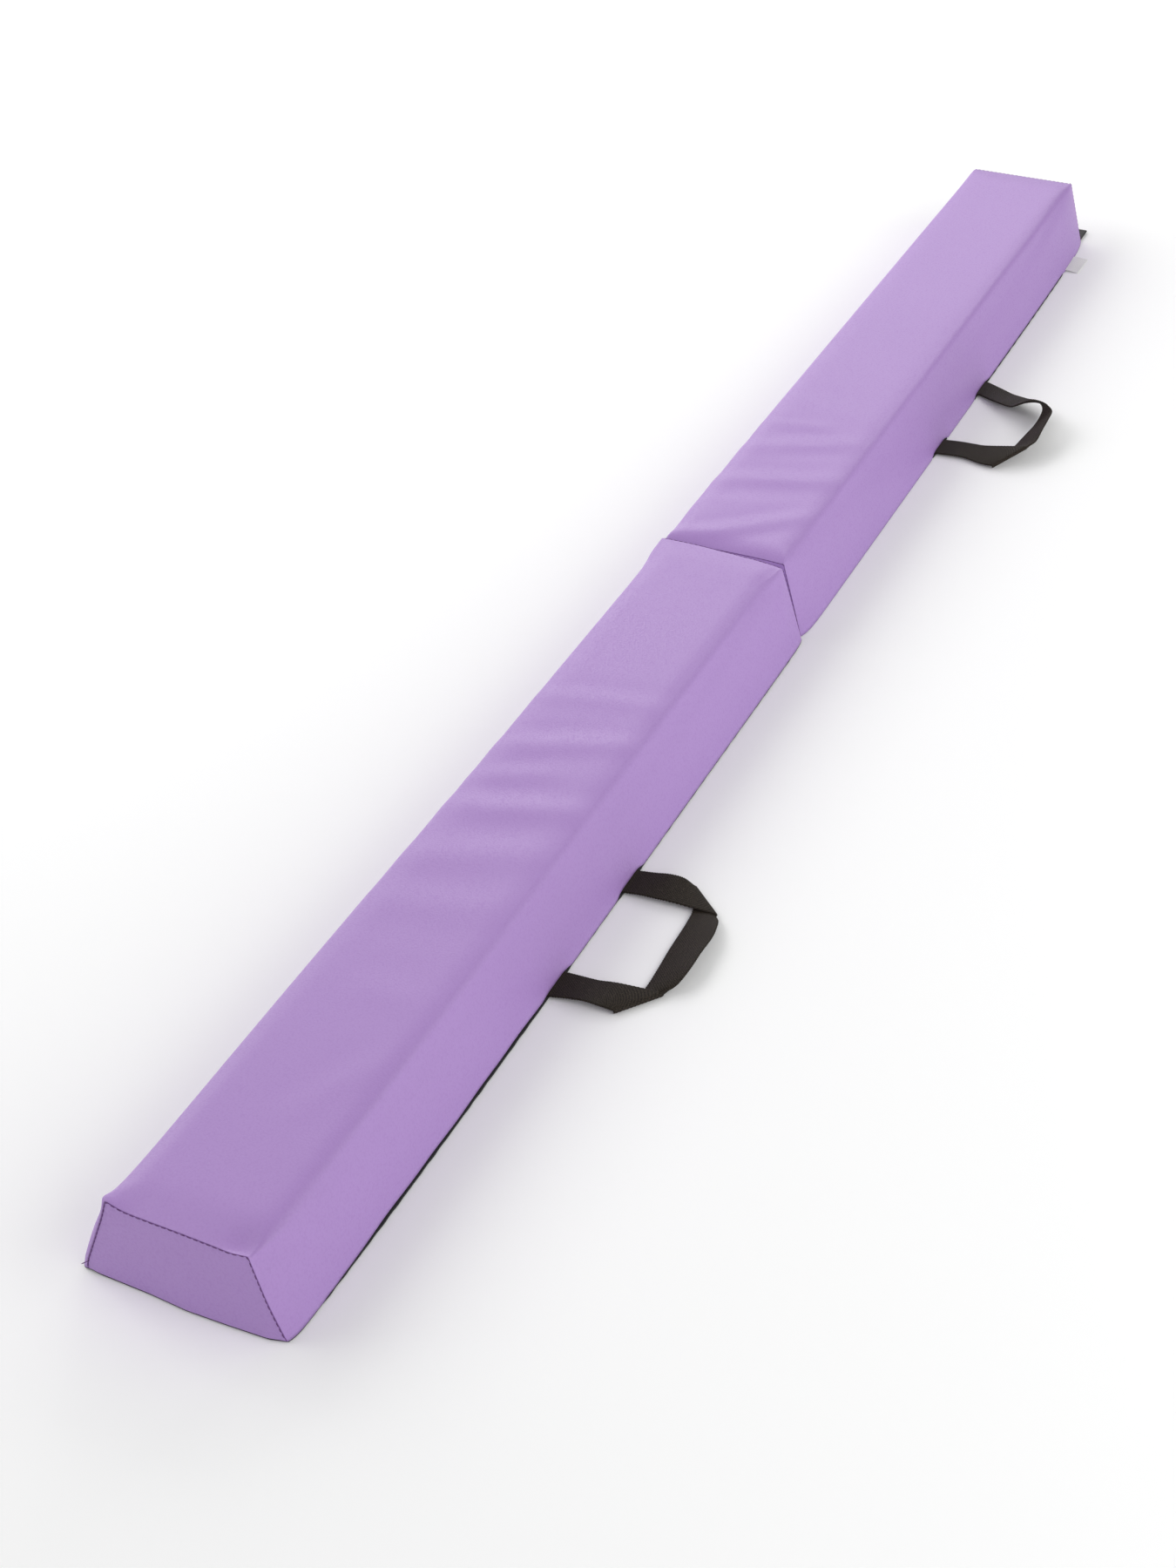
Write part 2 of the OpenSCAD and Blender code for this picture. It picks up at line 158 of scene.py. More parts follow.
def base_reach(x, side):
    """From the middle line out to the hem. The sides are drawn in at both end seams."""
    s = beam_end + x
    if side < 0:
        near = 6.0 * np.exp(-s / 0.150) + 3.2 * np.exp(-s / 0.005)
    else:
        near = turned_in(s / MM, 4.5) - 3.2 * np.exp(-s / 0.022)
    far = 1.0 + 3.8 * np.exp(-(beam_end - x) / 0.090) + 3.6 * np.exp(-np.abs(x) / 0.006)
    far = far + 3.6 * np.exp(-(beam_end - x) / 0.016) * (side < 0)
    return base_half - MM * (np.where(x < 0, near, far) + 2.5 * np.exp(-np.abs(x) / 0.012))


def ridge_reach(x, side):
    """From the middle line out to the line where a side would meet the walking surface."""
    s = beam_end + x
    near = 0.5 - 2.5 * ease((x + 0.70) / 0.40) + 3.2 * ease((x + 0.040) / 0.016)
    if side < 0:
        near = near - 8.5 * np.exp(-s / 0.018)
    else:
        near = near + 2.0 * np.exp(-s / 0.015) - turned_in(s / MM, 4.5)
    far = 0.5 - 2.0 * hump(x, 0.022, 0.030) - 0.8 * np.exp(-np.abs(x) / 0.006)
    far = far - 2.0 * np.exp(-(beam_end - x) / 0.007)
    return ridge_half + MM * np.where(x < 0, near, far)


def over_strap(x):
    """1 where a handle's strap comes out under the hem."""
    legs = [leg for half in ("near", "far") for leg in strap_legs[half]]
    return max(ease((leg_half + 9 * MM - abs(x - leg)) / (7 * MM)) for leg in legs)


def hem_height(x, side):
    """Height of the hem above the floor. The base cloth's dark edge shows below it in places."""
    lifted = ease((x + 0.870) / 0.09) * ease((-0.515 - x) / 0.04)
    shows = 0.9 * ease((0.002 - x) / 0.008)
    shows_far = 1.3 * ease((x - 0.50) / 0.03) * ease((0.815 - x) / 0.01)
    wave = 0.25 * math.sin(x * 95) + 0.2 * math.sin(x * 41 + 1.3)
    height = 0.3 + max(shows, shows_far) + lifted * (1.9 + wave)
    return MM * (height + (3.6 - height) * over_strap(x) * (side < 0))


def section(x, inset=0.0, roll=0.0):
    """Points round the half at x: up the -Y side, over the top, down, and back below."""
    top = top_z - inset - roll
    from_seam = min(beam_end - abs(x), abs(x) - fold_edge)
    r = ridge_r * (0.25 + 0.75 * ease(from_seam / 0.025))
    right, arcs = [], []
    for side in (-1, 1):
        out, ridge = base_reach(x, side), ridge_reach(x, side)
        lean = math.atan2(out - ridge, top_z)
        slope, set_in = math.tan(lean), inset / math.cos(lean)
        arc_y = out - set_in - slope * (top - r) - r / math.cos(lean)
        arcs.append(side * arc_y)
        low = hem_height(x, side) + inset
        start = np.array([out - set_in - slope * low, low])
        stop = np.array([arc_y + r * math.cos(lean), top - r + r * math.sin(lean)])
        line = [start + (stop - start) * k / side_cells for k in range(side_cells)]
        turns = [lean + (math.pi / 2 - lean) * k / ridge_cells for k in range(ridge_cells)]
        arc = [np.array([arc_y + r * math.cos(a), top - r + r * math.sin(a)]) for a in turns]
        right.append([(side * p[0], p[1]) for p in line + arc])
    over = [(y, top) for y in np.linspace(*arcs, top_cells + 1)]
    below_y = np.linspace(right[1][0][0], right[0][0][0], cap_over + 1)[1:-1]
    below = [(y, hem_z + inset + 0.2 * MM) for y in below_y]
    outline = right[0] + over + right[1][::-1] + below
    return np.array([(x, y, z) for y, z in outline])


def stations():
    """Distances from an outer end: close together at both seams, and even between them."""
    ends = np.array([0, 0.5, 1.4, 2.8, 5, 8, 13]) * MM
    inner = np.linspace(19 * MM, half_len - 19 * MM, 145)
    return np.concatenate([ends, inner, half_len - ends[::-1]])


def seam_roll(s):
    """How far the top dips towards each seam."""
    return MM * (3.0 * math.exp(-s / 0.009) + 1.6 * math.exp(-(half_len - s) / 0.005))


def quads_between(rows, ring):
    """Faces between rows of points, each closed into a ring."""
    i, j = np.meshgrid(np.arange(rows - 1), np.arange(ring), indexing="ij")
    a, b = i * ring + j, i * ring + (j + 1) % ring
    return np.stack([a, b, b + ring, a + ring], -1).reshape(-1, 4)


def end_panel(points, first):
    """A patch of cells that closes the ring of points starting at first."""
    ring = np.append(first + np.arange(ring_n), first)
    cells = np.full((cap_over + 1, cap_up + 1), -1)
    cells[0, :] = ring[: cap_up + 1]
    cells[:, cap_up] = ring[cap_up : cap_up + cap_over + 1]
    cells[cap_over, ::-1] = ring[cap_up + cap_over : 2 * cap_up + cap_over + 1]
    cells[::-1, 0] = ring[2 * cap_up + cap_over :]
    at = lambda a, b: points[cells[a, b]]
    added = []
    for a in range(1, cap_over):
        for b in range(1, cap_up):
            u, v = a / cap_over, b / cap_up
            low, high, right, left = at(a, 0), at(a, cap_up), at(0, b), at(cap_over, b)
            corners = ((1 - u) * (1 - v) * at(0, 0) + u * (1 - v) * at(cap_over, 0)
                       + (1 - u) * v * at(0, cap_up) + u * v * at(cap_over, cap_up))
            added.append((1 - v) * low + v * high + (1 - u) * right + u * left - corners)
            cells[a, b] = len(points) + len(added) - 1
    faces = np.stack([cells[:-1, :-1], cells[1:, :-1], cells[1:, 1:], cells[:-1, 1:]], -1)
    return np.array(added), faces.reshape(-1, 4)


def outward(points, faces):
    """The faces of a closed mesh, turned over if they point in."""
    p = np.asarray(points)
    a, b, c = (p[[face[k] for face in faces]] for k in (0, 1, 2))
    d = p[[face[-1] for face in faces]]
    inside = (a * np.cross(b, c)).sum() + (a * np.cross(c, d)).sum()
    return [tuple(int(i) for i in (face if inside > 0 else face[::-1])) for face in faces]


def places(mesh):
    """Where a mesh's points are."""
    return np.array([v.co for v in mesh.vertices])


def place_all(mesh, points):
    """Moves a mesh's points to these places."""
    mesh.vertices.foreach_set("co", points.ravel())
    mesh.update()


def applied(obj, modifier):
    """Gives an object the mesh that its modifier makes, and takes the modifier away."""
    depsgraph = bpy.context.evaluated_depsgraph_get()
    made = bpy.data.meshes.new_from_object(obj.evaluated_get(depsgraph))
    obj.modifiers.remove(modifier)
    obj.data = made
    return made


def piece(name, points, faces, *materials):
    """A smooth closed piece at the origin."""
    mesh = bpy.data.meshes.new(name)
    mesh.from_pydata([tuple(p) for p in points], [], outward(points, faces))
    for material in materials:
        mesh.materials.append(material)
    mesh.shade_smooth()
    obj = bpy.data.objects.new(name, mesh)
    bpy.context.collection.objects.link(obj)
    return obj


def shell(side):
    """Points, faces and number of rings of a half's cover: -1 is the near half, 1 the far."""
    along = stations()
    rings = [section(side * beam_end, inset, seam_roll(0)) for inset in panel_insets]
    rings += [section(side * (beam_end - s), 0, seam_roll(s)) for s in along]
    rings += [section(side * fold_edge, inset, seam_roll(half_len))
              for inset in panel_insets[::-1]]
    points = np.concatenate(rings)
    outer, outer_faces = end_panel(points, 0)
    points = np.concatenate([points, outer])
    fold, fold_faces = end_panel(points, (len(rings) - 1) * ring_n)
    points = np.concatenate([points, fold])
    walls = quads_between(len(rings), ring_n)
    faces = np.concatenate([walls, outer_faces, fold_faces[:, ::-1]])
    return points, faces, len(rings)


def lerp_by_height(z, low, high):
    """Between a value at the floor and one at the top."""
    return low + (high - low) * np.clip(z / top_z, 0, 1)


def across_beam(y, at, values):
    """A line through values given in mm at places across the beam."""
    return np.interp(y, np.array(at) * MM, np.array(values) * MM)


def settle(points):
    """The last shape of anything sewn: seams that lean and bow, roll-down, and pinched, tucked and
    swollen corners.
    """
    p = np.array(points, float)
    x, y, z = p.T.copy()
    # Outer end of the near half: the panel leans out towards the floor
    seam = across_beam(y, [-57, -48, -38, -20, 0, 20, 57], [-0.3, -0.3, -1.8, -0.8, 0.2, 0.7, 2.0])
    foot = across_beam(y, [-75, -60, -30, 0, 30, 79], [-1, -5, -5.5, -5.5, -2.5, 0])
    p[:, 0] += lerp_by_height(z, foot, seam) * np.exp(-(beam_end + x) / 0.020) * (x < 0)
    # The two ends at the fold aren't quite square
    near_seam = across_beam(y, [-58, -45, -30, -10, 10, 30, 55], [-3.5, -1.0, 1.2, 2.5, 4, 5, 4.5])
    far_seam = across_beam(y, [-55, -40, -20, 0, 20, 40, 55], [3.2, 4.6, 5, 4.8, 4.5, 3, 0.5])
    near_foot = across_beam(y, [-82, 0, 82], [-5.5, -0.5, 0])
    far_foot = across_beam(y, [-82, 0, 82], [-5, 0, 0.5])
    # The far panel is full below its seam, so only the seam itself stands back
    stands_back = (z / top_z).clip(0, 1)
    far_face = far_foot + (np.minimum(far_seam, 1.5 * MM) - far_foot) * stands_back
    far_face += (far_seam - 1.5 * MM).clip(0) * stands_back ** 12
    shift = np.where(x < 0, lerp_by_height(z, near_foot, near_seam), far_face)
    p[:, 0] += shift * np.exp(-(np.abs(x) - fold_edge).clip(0) / 0.012)
    # The far half rolls down further to its seam at the fold, most in the middle
    length = (4 + 3 * hump(y, 0, 0.035)) * MM
    dip = 3.0 * MM * np.exp(-(x - fold_edge) / length) * stands_back ** 3
    p[:, 2] -= dip * (x > 0)
    # One corner of the outer seam stands proud, and the cloth swells out behind its side
    # seam. The other top corner is pinched down, and the corner below the ear is tucked in.
    s = (beam_end + x).clip(0)
    ear = np.exp(-(s ** 2 + (y - ridge_half) ** 2 + (z - top_z) ** 2) / 0.010 ** 2)
    p[:, 2] += 4.0 * MM * ear
    swell = (s / 0.010) * np.exp(1 - s / 0.010) * np.sin(math.pi * (z / top_z).clip(0, 1)) ** 0.5
    p[:, 1] += 1.2 * MM * swell * (y > 0.045) * (x < 0)
    tuck = np.exp(-(s ** 2 + (y - 0.079) ** 2 + z ** 2) / 0.006 ** 2)
    p[:, 1] -= 2.6 * MM * tuck
    p[:, 2] += 1.4 * MM * tuck
    pinch = np.exp(-((s - 0.006) ** 2 + (y + 0.046) ** 2) / 0.014 ** 2) * (z > 0.05)
    p[:, 2] -= 3.2 * MM * pinch * (1 - np.exp(-s / 0.003)) * (x < 0)
    return p


def resampled(table, at, spots):
    """The rows of a table, read off between the places where they stand."""
    return np.stack([np.interp(spots, at, column) for column in table.T], 1)


def evened(table, reach, width):
    """The rows of a table, each one averaged with the rows round it."""
    kernel = hump(np.arange(-reach, reach + 1), 0, width)
    padded = np.pad(table, ((reach, reach), (0, 0)), "edge")
    return np.stack([np.convolve(column, kernel / kernel.sum(), "valid")
                     for column in padded.T], 1)


def crease(points, route, height, width):
    """Raises the walking surface along a route of (x, y) points, with a hollow behind it."""
    steps, reach_x, skin = 48, 0.09, 6 * MM
    route = np.array(route, float) * MM
    share = np.linspace(0, len(route) - 1, steps)
    line = evened(resampled(route, np.arange(len(route)), share), 8, 5)
    near = np.flatnonzero((np.abs(points[:, 0] - line[:, 0].mean()) < reach_x)
                          & (points[:, 2] > top_z - skin))
    apart = points[near, None, :2] - line[None]
    reach = np.linalg.norm(apart, axis=2)
    closest = reach.argmin(1)
    picked = np.arange(len(near))
    far = reach[picked, closest] * np.sign(apart[picked, closest, 0])
    fade = np.sin(np.pi * (closest + 1.5) / (steps + 2)) ** 0.6
    w = width * MM
    shape = hump(far, 0, w) - 0.55 * hump(far, 1.7 * w, w) - 0.25 * hump(far, -1.8 * w, w)
    points[near, 2] += height * MM * fade * shape
    return points


near_creases = (
    ([(-565, 62), (-552, 20), (-544, -20), (-525, -57)], 0.6, 17),
    ([(-508, 62), (-489, 20), (-474, -20), (-457, -57)], 0.85, 16),
    ([(-434, 62), (-426, 20), (-411, -20), (-400, -57)], 1.35, 13.5),
    ([(-398, 62), (-378, 20), (-362, -14)], 0.5, 10),
    ([(-351, 62), (-334, 20), (-317, -20), (-304, -57)], 1.15, 12.5),
    ([(-273, 62), (-262, 20), (-254, -20), (-248, -57)], 0.7, 11.5),
    ([(-650, 20), (-648, -40)], 0.4, 16),
    ([(-790, -10), (-740, -30), (-700, -50)], 0.45, 12),
)
far_creases = (
    ([(6, 62), (24, 20), (57, -20), (90, -57)], 1.8, 11),
    ([(70, 58), (84, 20), (92, 0)], 0.2, 9),
    ([(110, 62), (128, 20), (139, -20), (156, -57)], 2.0, 13),
    ([(176, 62), (197, 20), (214, -20), (230, -50)], 1.5, 12),
    ([(234, 62), (240, 20), (247, -8)], 0.7, 8),
    ([(292, 55), (288, 10), (279, -20), (270, -50)], 0.5, 14),
)


def blown_up(obj, held, cap):
    """Presses the cloth outwards from inside, with the sewn points held. No point moves
    further than its cap."""
    rest = places(obj.data)
    sewn = obj.vertex_groups.new(name="sewn")
    sewn.add([int(i) for i in np.flatnonzero(held)], 1.0, "REPLACE")
    cloth = obj.modifiers.new("cloth", "CLOTH")
    how = cloth.settings
    how.quality, how.mass, how.vertex_group_mass = 4, 0.3, "sewn"
    how.use_pressure, how.uniform_pressure_force = True, 4.0
    how.effector_weights.gravity = 0.0
    last_step = 20
    cloth.point_cache.frame_start, cloth.point_cache.frame_end = 1, last_step
    for step in range(1, last_step + 1):
        bpy.context.scene.frame_set(step)
    swollen = obj.evaluated_get(bpy.context.evaluated_depsgraph_get()).data
    move = places(swollen) - rest
    obj.modifiers.remove(cloth)
    obj.vertex_groups.remove(sewn)
    bpy.context.scene.frame_set(1)
    far = np.linalg.norm(move, axis=1).clip(1e-9)
    return rest + move * (cap * np.tanh(far / cap) / far)[:, None]


def add(tree, kind, inputs=(), **settings):
    """A node with its settings. Each input takes a value, the socket that feeds it, or a node
    that feeds it from its first output."""
    made = tree.nodes.new(kind)
    for key, value in settings.items():
        setattr(made, key, value)
    for key, value in dict(inputs).items():
        if isinstance(value, bpy.types.Node):
            value = value.outputs[0]
        if isinstance(value, bpy.types.NodeSocket):
            tree.links.new(value, made.inputs[key])
        else:
            made.inputs[key].default_value = value
    return made


def node_group(name, kind, takes, gives):
    """A node group and its input node. Each socket is named with its type, or with a number."""
    tree = bpy.data.node_groups.new(name, kind)
    for sockets, in_out in ((takes, "INPUT"), (gives, "OUTPUT")):
        for label, what in sockets.items():
            number = isinstance(what, (int, float))
            socket = tree.interface.new_socket(
                label, in_out=in_out, socket_type=f"NodeSocket{'Float' if number else what}")
            if number:
                socket.default_value = what
    return tree, tree.nodes.new("NodeGroupInput")


def mixed(tree, share, low, high, way="MIX"):
    """The socket of a colour between two, or of the low one multiplied by the high one."""
    return add(tree, "ShaderNodeMix", {"Factor": share, "A": low, "B": high},
               data_type="RGBA", blend_type=way).outputs["Result"]


def spread(tree, value, low, high, start=0.0, stop=1.0):
    """The socket of a value stretched from low to high onto start to stop."""
    return add(tree, "ShaderNodeMapRange", {"Value": value, "From Min": low, "From Max": high,
                                            "To Min": start, "To Max": stop}).outputs["Result"]


def painted(tree, shader, colour, height, strength, distance):
    """Feeds a colour to the shader, and a normal raised by a height."""
    relief = add(tree, "ShaderNodeBump", {"Height": height, "Strength": strength,
                                          "Distance": distance})
    tree.links.new(colour, shader.inputs["Base Color"])
    tree.links.new(relief.outputs["Normal"], shader.inputs["Normal"])


def position(tree):
    """The socket of the place on the object."""
    return add(tree, "ShaderNodeTexCoord").outputs["Object"]


def grain_group():
    """Pebble grain of coated cloth: rounded cells between fine valleys."""
    tree, given = node_group("pebble_grain", "ShaderNodeTree", {"Cells per metre": 900},
                             {"Height": "Float", "Valley": "Float"})
    place = position(tree)
    bend = add(tree, "ShaderNodeTexNoise", {"Vector": place, "Scale": 260})
    bent = add(tree, "ShaderNodeVectorMath",
               {0: bend.outputs["Color"], 1: (0.0016,) * 3, 2: place}, operation="MULTIPLY_ADD")
    cells = add(tree, "ShaderNodeTexVoronoi", feature="SMOOTH_F1", inputs={
        "Vector": bent, "Scale": given.outputs["Cells per metre"], "Smoothness": 0.35})
    add(tree, "NodeGroupOutput", {"Height": spread(tree, cells, 0.1, 0.75, 1.0, 0.0),
                                  "Valley": spread(tree, cells, 0.45, 0.8)})
    return tree


def soil_group():
    """Slow, uneven patches of a colour, as handling and light wear leave them."""
    tree, given = node_group(
        "handling", "ShaderNodeTree",
        {"Colour": "Color", "Worn colour": "Color", "Patches per metre": 9, "Amount": 0.5},
        {"Colour": "Color"})
    clean, worn, scale, amount = given.outputs[:4]
    patch = add(tree, "ShaderNodeTexNoise", {"Vector": position(tree), "Scale": scale, "Detail": 5})
    share = add(tree, "ShaderNodeMath", {0: spread(tree, patch, 0.38, 0.68), 1: amount},
                operation="MULTIPLY")
    add(tree, "NodeGroupOutput", {"Colour": mixed(tree, share, clean, worn)})
    return tree


pebble_grain, handling = grain_group(), soil_group()


def lilac_cloth():
    """Satin coated cloth: soft sheen, fine grain with painted shade in its valleys, and painted
    shade along the seams, where they are pulled in."""
    made, tree, shader = new_material("lilac_coated_cloth", (0.41, 0.25, 0.57), 0.52)
    grain = add(tree, "ShaderNodeGroup", {"Cells per metre": 620}, node_tree=pebble_grain)
    height, valley = grain.outputs[:2]
    patches = add(tree, "ShaderNodeGroup", {
        "Colour": (0.412, 0.251, 0.578, 1), "Worn colour": (0.396, 0.240, 0.560, 1),
        "Patches per metre": 7}, node_tree=handling)
    seam = add(tree, "ShaderNodeAttribute", attribute_name="seam_line")
    # The grain's valleys are multiplied darker: painted shade in the cloth's fine relief
    valley_shaded = mixed(tree, valley, patches, (0.965, 0.95, 0.97, 1), "MULTIPLY")
    # Painted shade along the seam line, where the thread pulls the cloth into a groove
    seam_shade = spread(tree, seam.outputs["Fac"], 0.25, 0.80)
    colour = mixed(tree, seam_shade, valley_shaded, (0.36, 0.20, 0.42, 1), "MULTIPLY")
    tree.links.new(spread(tree, valley, 0.0, 1.0, 0.46, 0.62), shader.inputs["Roughness"])
    painted(tree, shader, colour, height, 0.35, 0.0002)
    return made


vinyl = lilac_cloth()
covers = {}
for half, side, creases in (("near", -1, near_creases), ("far", 1, far_creases)):
    points, faces, ring_count = shell(side)
    cover = piece(f"{half}_padded_cover", points, faces, vinyl)
    in_ring = np.arange(ring_count * ring_n)
    ring_place, around = in_ring // ring_n, in_ring % ring_n
    at_seam = (ring_place == seam_ring) | (ring_place == ring_count - 1 - seam_ring)
    held = np.zeros(len(points), bool)
    held[: len(in_ring)] = (around == 0) | (around >= 2 * cap_up + cap_over) | at_seam
    from_seam = np.minimum(beam_end - np.abs(points[:, 0]), np.abs(points[:, 0]) - fold_edge)
    panel = from_seam < 0.5 * MM
    cap = MM * np.where(panel, 2.2, 1.1 + 1.2 * np.exp(-from_seam / 0.03))
    points = blown_up(cover, held, cap)
    place_all(cover.data, points)

    seam_line = cover.data.attributes.new("seam_line", "FLOAT", "POINT")
    on_seam = np.zeros(len(points), np.float32)
    on_seam[: len(in_ring)] = at_seam
    seam_line.data.foreach_set("value", on_seam)
    on_hem = np.zeros(len(points))
    on_hem[: len(in_ring)] = (around == 0) | (around == 2 * cap_up + cap_over)
    crisp = cover.data.attributes.new("crease_edge", "FLOAT", "EDGE")
    ends = np.array([edge.vertices[:] for edge in cover.data.edges])
    sharp = np.maximum(0.8 * on_seam[ends].min(1), on_hem[ends].min(1))
    crisp.data.foreach_set("value", sharp.astype(np.float32))
    finer = cover.modifiers.new("finer", "SUBSURF")
    finer.levels = finer.render_levels = 1
    smooth = applied(cover, finer)
    fine = places(smooth)
    on_seam = np.empty(len(fine), np.float32)
    smooth.attributes["seam_line"].data.foreach_get("value", on_seam)
    # The thread pulls the seam in along the panel's own plane
    normals = np.array([v.normal for v in smooth.vertices])
    fine[:, 1:] -= normals[:, 1:] * (0.7 * MM * on_seam ** 2)[:, None]
    fine = settle(fine)
    for route, height, width in creases:
        fine = crease(fine, route, height, width)
    place_all(smooth, fine)
    covers[half] = (cover, fine, normals, on_seam)
    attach(cover, f"{half}_half")
    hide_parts(f"{half}_cover", f"{half}_outer_panel", f"{half}_joint_panel")

# ---- Foam ----
# Two planks of white foam, glued on a level line, fill each cover from seam to seam.


def tube(rings):
    """Settled points, and faces, of a tube through rings, each end closed by one face."""
    ring = len(rings[0])
    faces = list(quads_between(len(rings), ring))
    faces += [tuple(range(ring))[::-1],
              tuple(range((len(rings) - 1) * ring, len(rings) * ring))]
    return settle(np.array(rings).reshape(-1, 3)), faces


def foam_white():
    """Closed-cell foam, pale, fine-pored and quite rough, with painted shade in its pores."""
    made, tree, shader = new_material("white_foam", (0.86, 0.85, 0.80), 0.95)
    pores = add(tree, "ShaderNodeTexVoronoi", {"Vector": position(tree), "Scale": 1100})
    # The pores' hollows are coloured darker: painted shade
    tone = mixed(tree, pores, (0.66, 0.64, 0.57, 1), (0.90, 0.89, 0.85, 1))
    painted(tree, shader, tone, pores, 0.6, 0.0004)
    return made


glue_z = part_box("near_lower_foam")[1].z
foam = foam_white()
foam_gap = 3.5 * MM
for half, side in (("near", -1), ("far", 1)):
    for name, low, high, edge_r in (("upper", glue_z, top_z - foam_gap, 6 * MM),
                                    ("lower", hem_z + foam_gap, glue_z, 1.5 * MM)):
        rings = []
        for s in np.linspace(8 * MM, half_len - 9 * MM, 40):
            x = side * (beam_end - s)
            outline = []
            for hand in (1, -1):
                out, ridge = base_reach(x, hand) - foam_gap, ridge_reach(x, hand) - foam_gap
                at = lambda z: out - (out - ridge) * z / top_z
                corner = [(at(high) - edge_r, high), (at(high) - 0.3 * edge_r, high - 0.3 * edge_r),
                          (at(high - edge_r), high - edge_r), (at(low + edge_r), low + edge_r),
                          (at(low) - 0.3 * edge_r, low + 0.3 * edge_r), (at(low) - edge_r, low)]
                outline += [(x, hand * y, z) for y, z in corner[::hand]]
            rings.append(outline)
        plank = piece(f"{half}_{name}_plank", *tube(rings), foam)
        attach(plank, f"{half}_half")
        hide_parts(f"{half}_{name}_foam")

# ---- Seam thread ----
# One row of purple thread holds each end panel to its wrap, over the top and down both sides.


def handed_out(tree, points, shape, turn, size, thread, label):
    """Ends a tree: the shape laid on every point, made real and painted with the thread."""
    laid = add(tree, "GeometryNodeInstanceOnPoints", {
        "Points": points, "Instance": shape, "Rotation": turn, "Scale": size})
    real = add(tree, "GeometryNodeRealizeInstances", {"Geometry": laid})
    add(tree, "NodeGroupOutput", {label: add(
        tree, "GeometryNodeSetMaterial", {"Geometry": real, "Material": thread})})
    return tree


def stitch_tree():
    """Short threads laid end to end along paths of points."""
    tree, given = node_group(
        "stitch_row", "GeometryNodeTree",
        {"Paths": "Geometry", "Pitch": 0.005, "Stitch length": 0.0036, "Thread radius": 0.0004,
         "Thread": "Material"}, {"Stitches": "Geometry"})
    paths, pitch, length, radius, thread = given.outputs[:5]
    path = add(tree, "GeometryNodeMeshToCurve", {"Mesh": paths})
    even = add(tree, "GeometryNodeResampleCurve", {"Curve": path, "Length": pitch}, mode="LENGTH")
    turn = add(tree, "FunctionNodeAlignRotationToVector",
               {"Vector": add(tree, "GeometryNodeInputTangent")}, axis="X")
    half = add(tree, "ShaderNodeMath", {0: length, 1: 0.5}, operation="MULTIPLY")
    size = add(tree, "ShaderNodeCombineXYZ", {"X": half, "Y": radius, "Z": radius})
    stitch = add(tree, "GeometryNodeMeshUVSphere", {"Segments": 6, "Rings": 5})
    return handed_out(tree, even, stitch, turn, size, thread, "Stitches")


stitch_row = stitch_tree()


def grown(name, mesh, tree, **values):
    """An object that keeps what a node tree makes of its mesh, with the tree's inputs set."""
    obj = bpy.data.objects.new(name, mesh)
    bpy.context.collection.objects.link(obj)
    rows = obj.modifiers.new("rows", "NODES")
    rows.node_group = tree
    sockets = {item.name: item.identifier for item in tree.interface.items_tree
               if item.in_out == "INPUT"}
    for key, value in values.items():
        rows[sockets[key.replace("_", " ").capitalize()]] = value
    applied(obj, rows)
    return obj


def sewn(name, paths, thread, **sizes):
    """Rows of stitches along paths, as one piece."""
    points, edges = [], []
    for path in paths:
        edges += [(len(points) + k, len(points) + k + 1) for k in range(len(path) - 1)]
        points += [tuple(p) for p in path]
    mesh = bpy.data.meshes.new(name)
    mesh.from_pydata(points, edges, [])
    obj = grown(name, mesh, stitch_row, thread=thread, **sizes)
    obj.data.shade_smooth()
    return obj


def spun_thread(name, colour, light):
    """Twisted sewing thread with fine slanting plies, lighter on each ply's crest as a painted
    highlight.
    """
    made, tree, shader = new_material(name, colour, 0.55)
    plies = add(tree, "ShaderNodeTexWave", {"Vector": position(tree), "Scale": 900},
                bands_direction="DIAGONAL").outputs["Fac"]
    # The ply crests take the lighter colour: a painted highlight on each ply
    painted(tree, shader, mixed(tree, plies, (*colour, 1), (*light, 1)), plies, 0.4, 0.0001)
    return made


lowest_stitch, wrap_z = 5 * MM, 20 * MM
beside_seam, above_cloth = 0.35 * MM, 0.1 * MM
purple_thread = spun_thread("purple_thread", (0.075, 0.020, 0.110), (0.150, 0.050, 0.200))
for half, (cover, fine, normals, on_seam) in covers.items():
    paths = []
    middle = 0.5 * (beam_end + fold_edge)
    for outer_end in (True, False):
        row = np.flatnonzero((on_seam > 0.999) & ((np.abs(fine[:, 0]) > middle) == outer_end))
        row = row[fine[row, 2] > lowest_stitch]
        row = row[np.argsort(np.arctan2(fine[row, 1], fine[row, 2] - wrap_z))]
        outward_x = math.copysign(beside_seam, fine[row[0], 0]) * (1 if outer_end else -1)
        paths.append(fine[row] + above_cloth * normals[row] + np.array([outward_x, 0, 0]))
    if half == "near":
        # A loose end of the thread stands out at the foot of the seam
        paths.append(np.array([(-900.0, 76.5, 10.0), (-902.0, 78.8, 9.2)]) * MM)
    thread_row = sewn(f"{half}_seam_stitches", paths, purple_thread, pitch=4.8 * MM,
                      stitch_length=3.9 * MM, thread_radius=0.36 * MM)
    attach(thread_row, f"{half}_half")

# ---- Base cloths ----
# Each half stands on one piece of black non-slip cloth, sewn to the cover all round. Its edge
# shows as a dark line under the hem, and a rolled binding lifts the hem at the near end. The
# binding is a deeper black than the cloth: painted shade for the gap under the hem.

cloth_t = hem_z
leaf_low, leaf_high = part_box("near_hinge_leaf")
loop_low, loop_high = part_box("near_loop_strip")


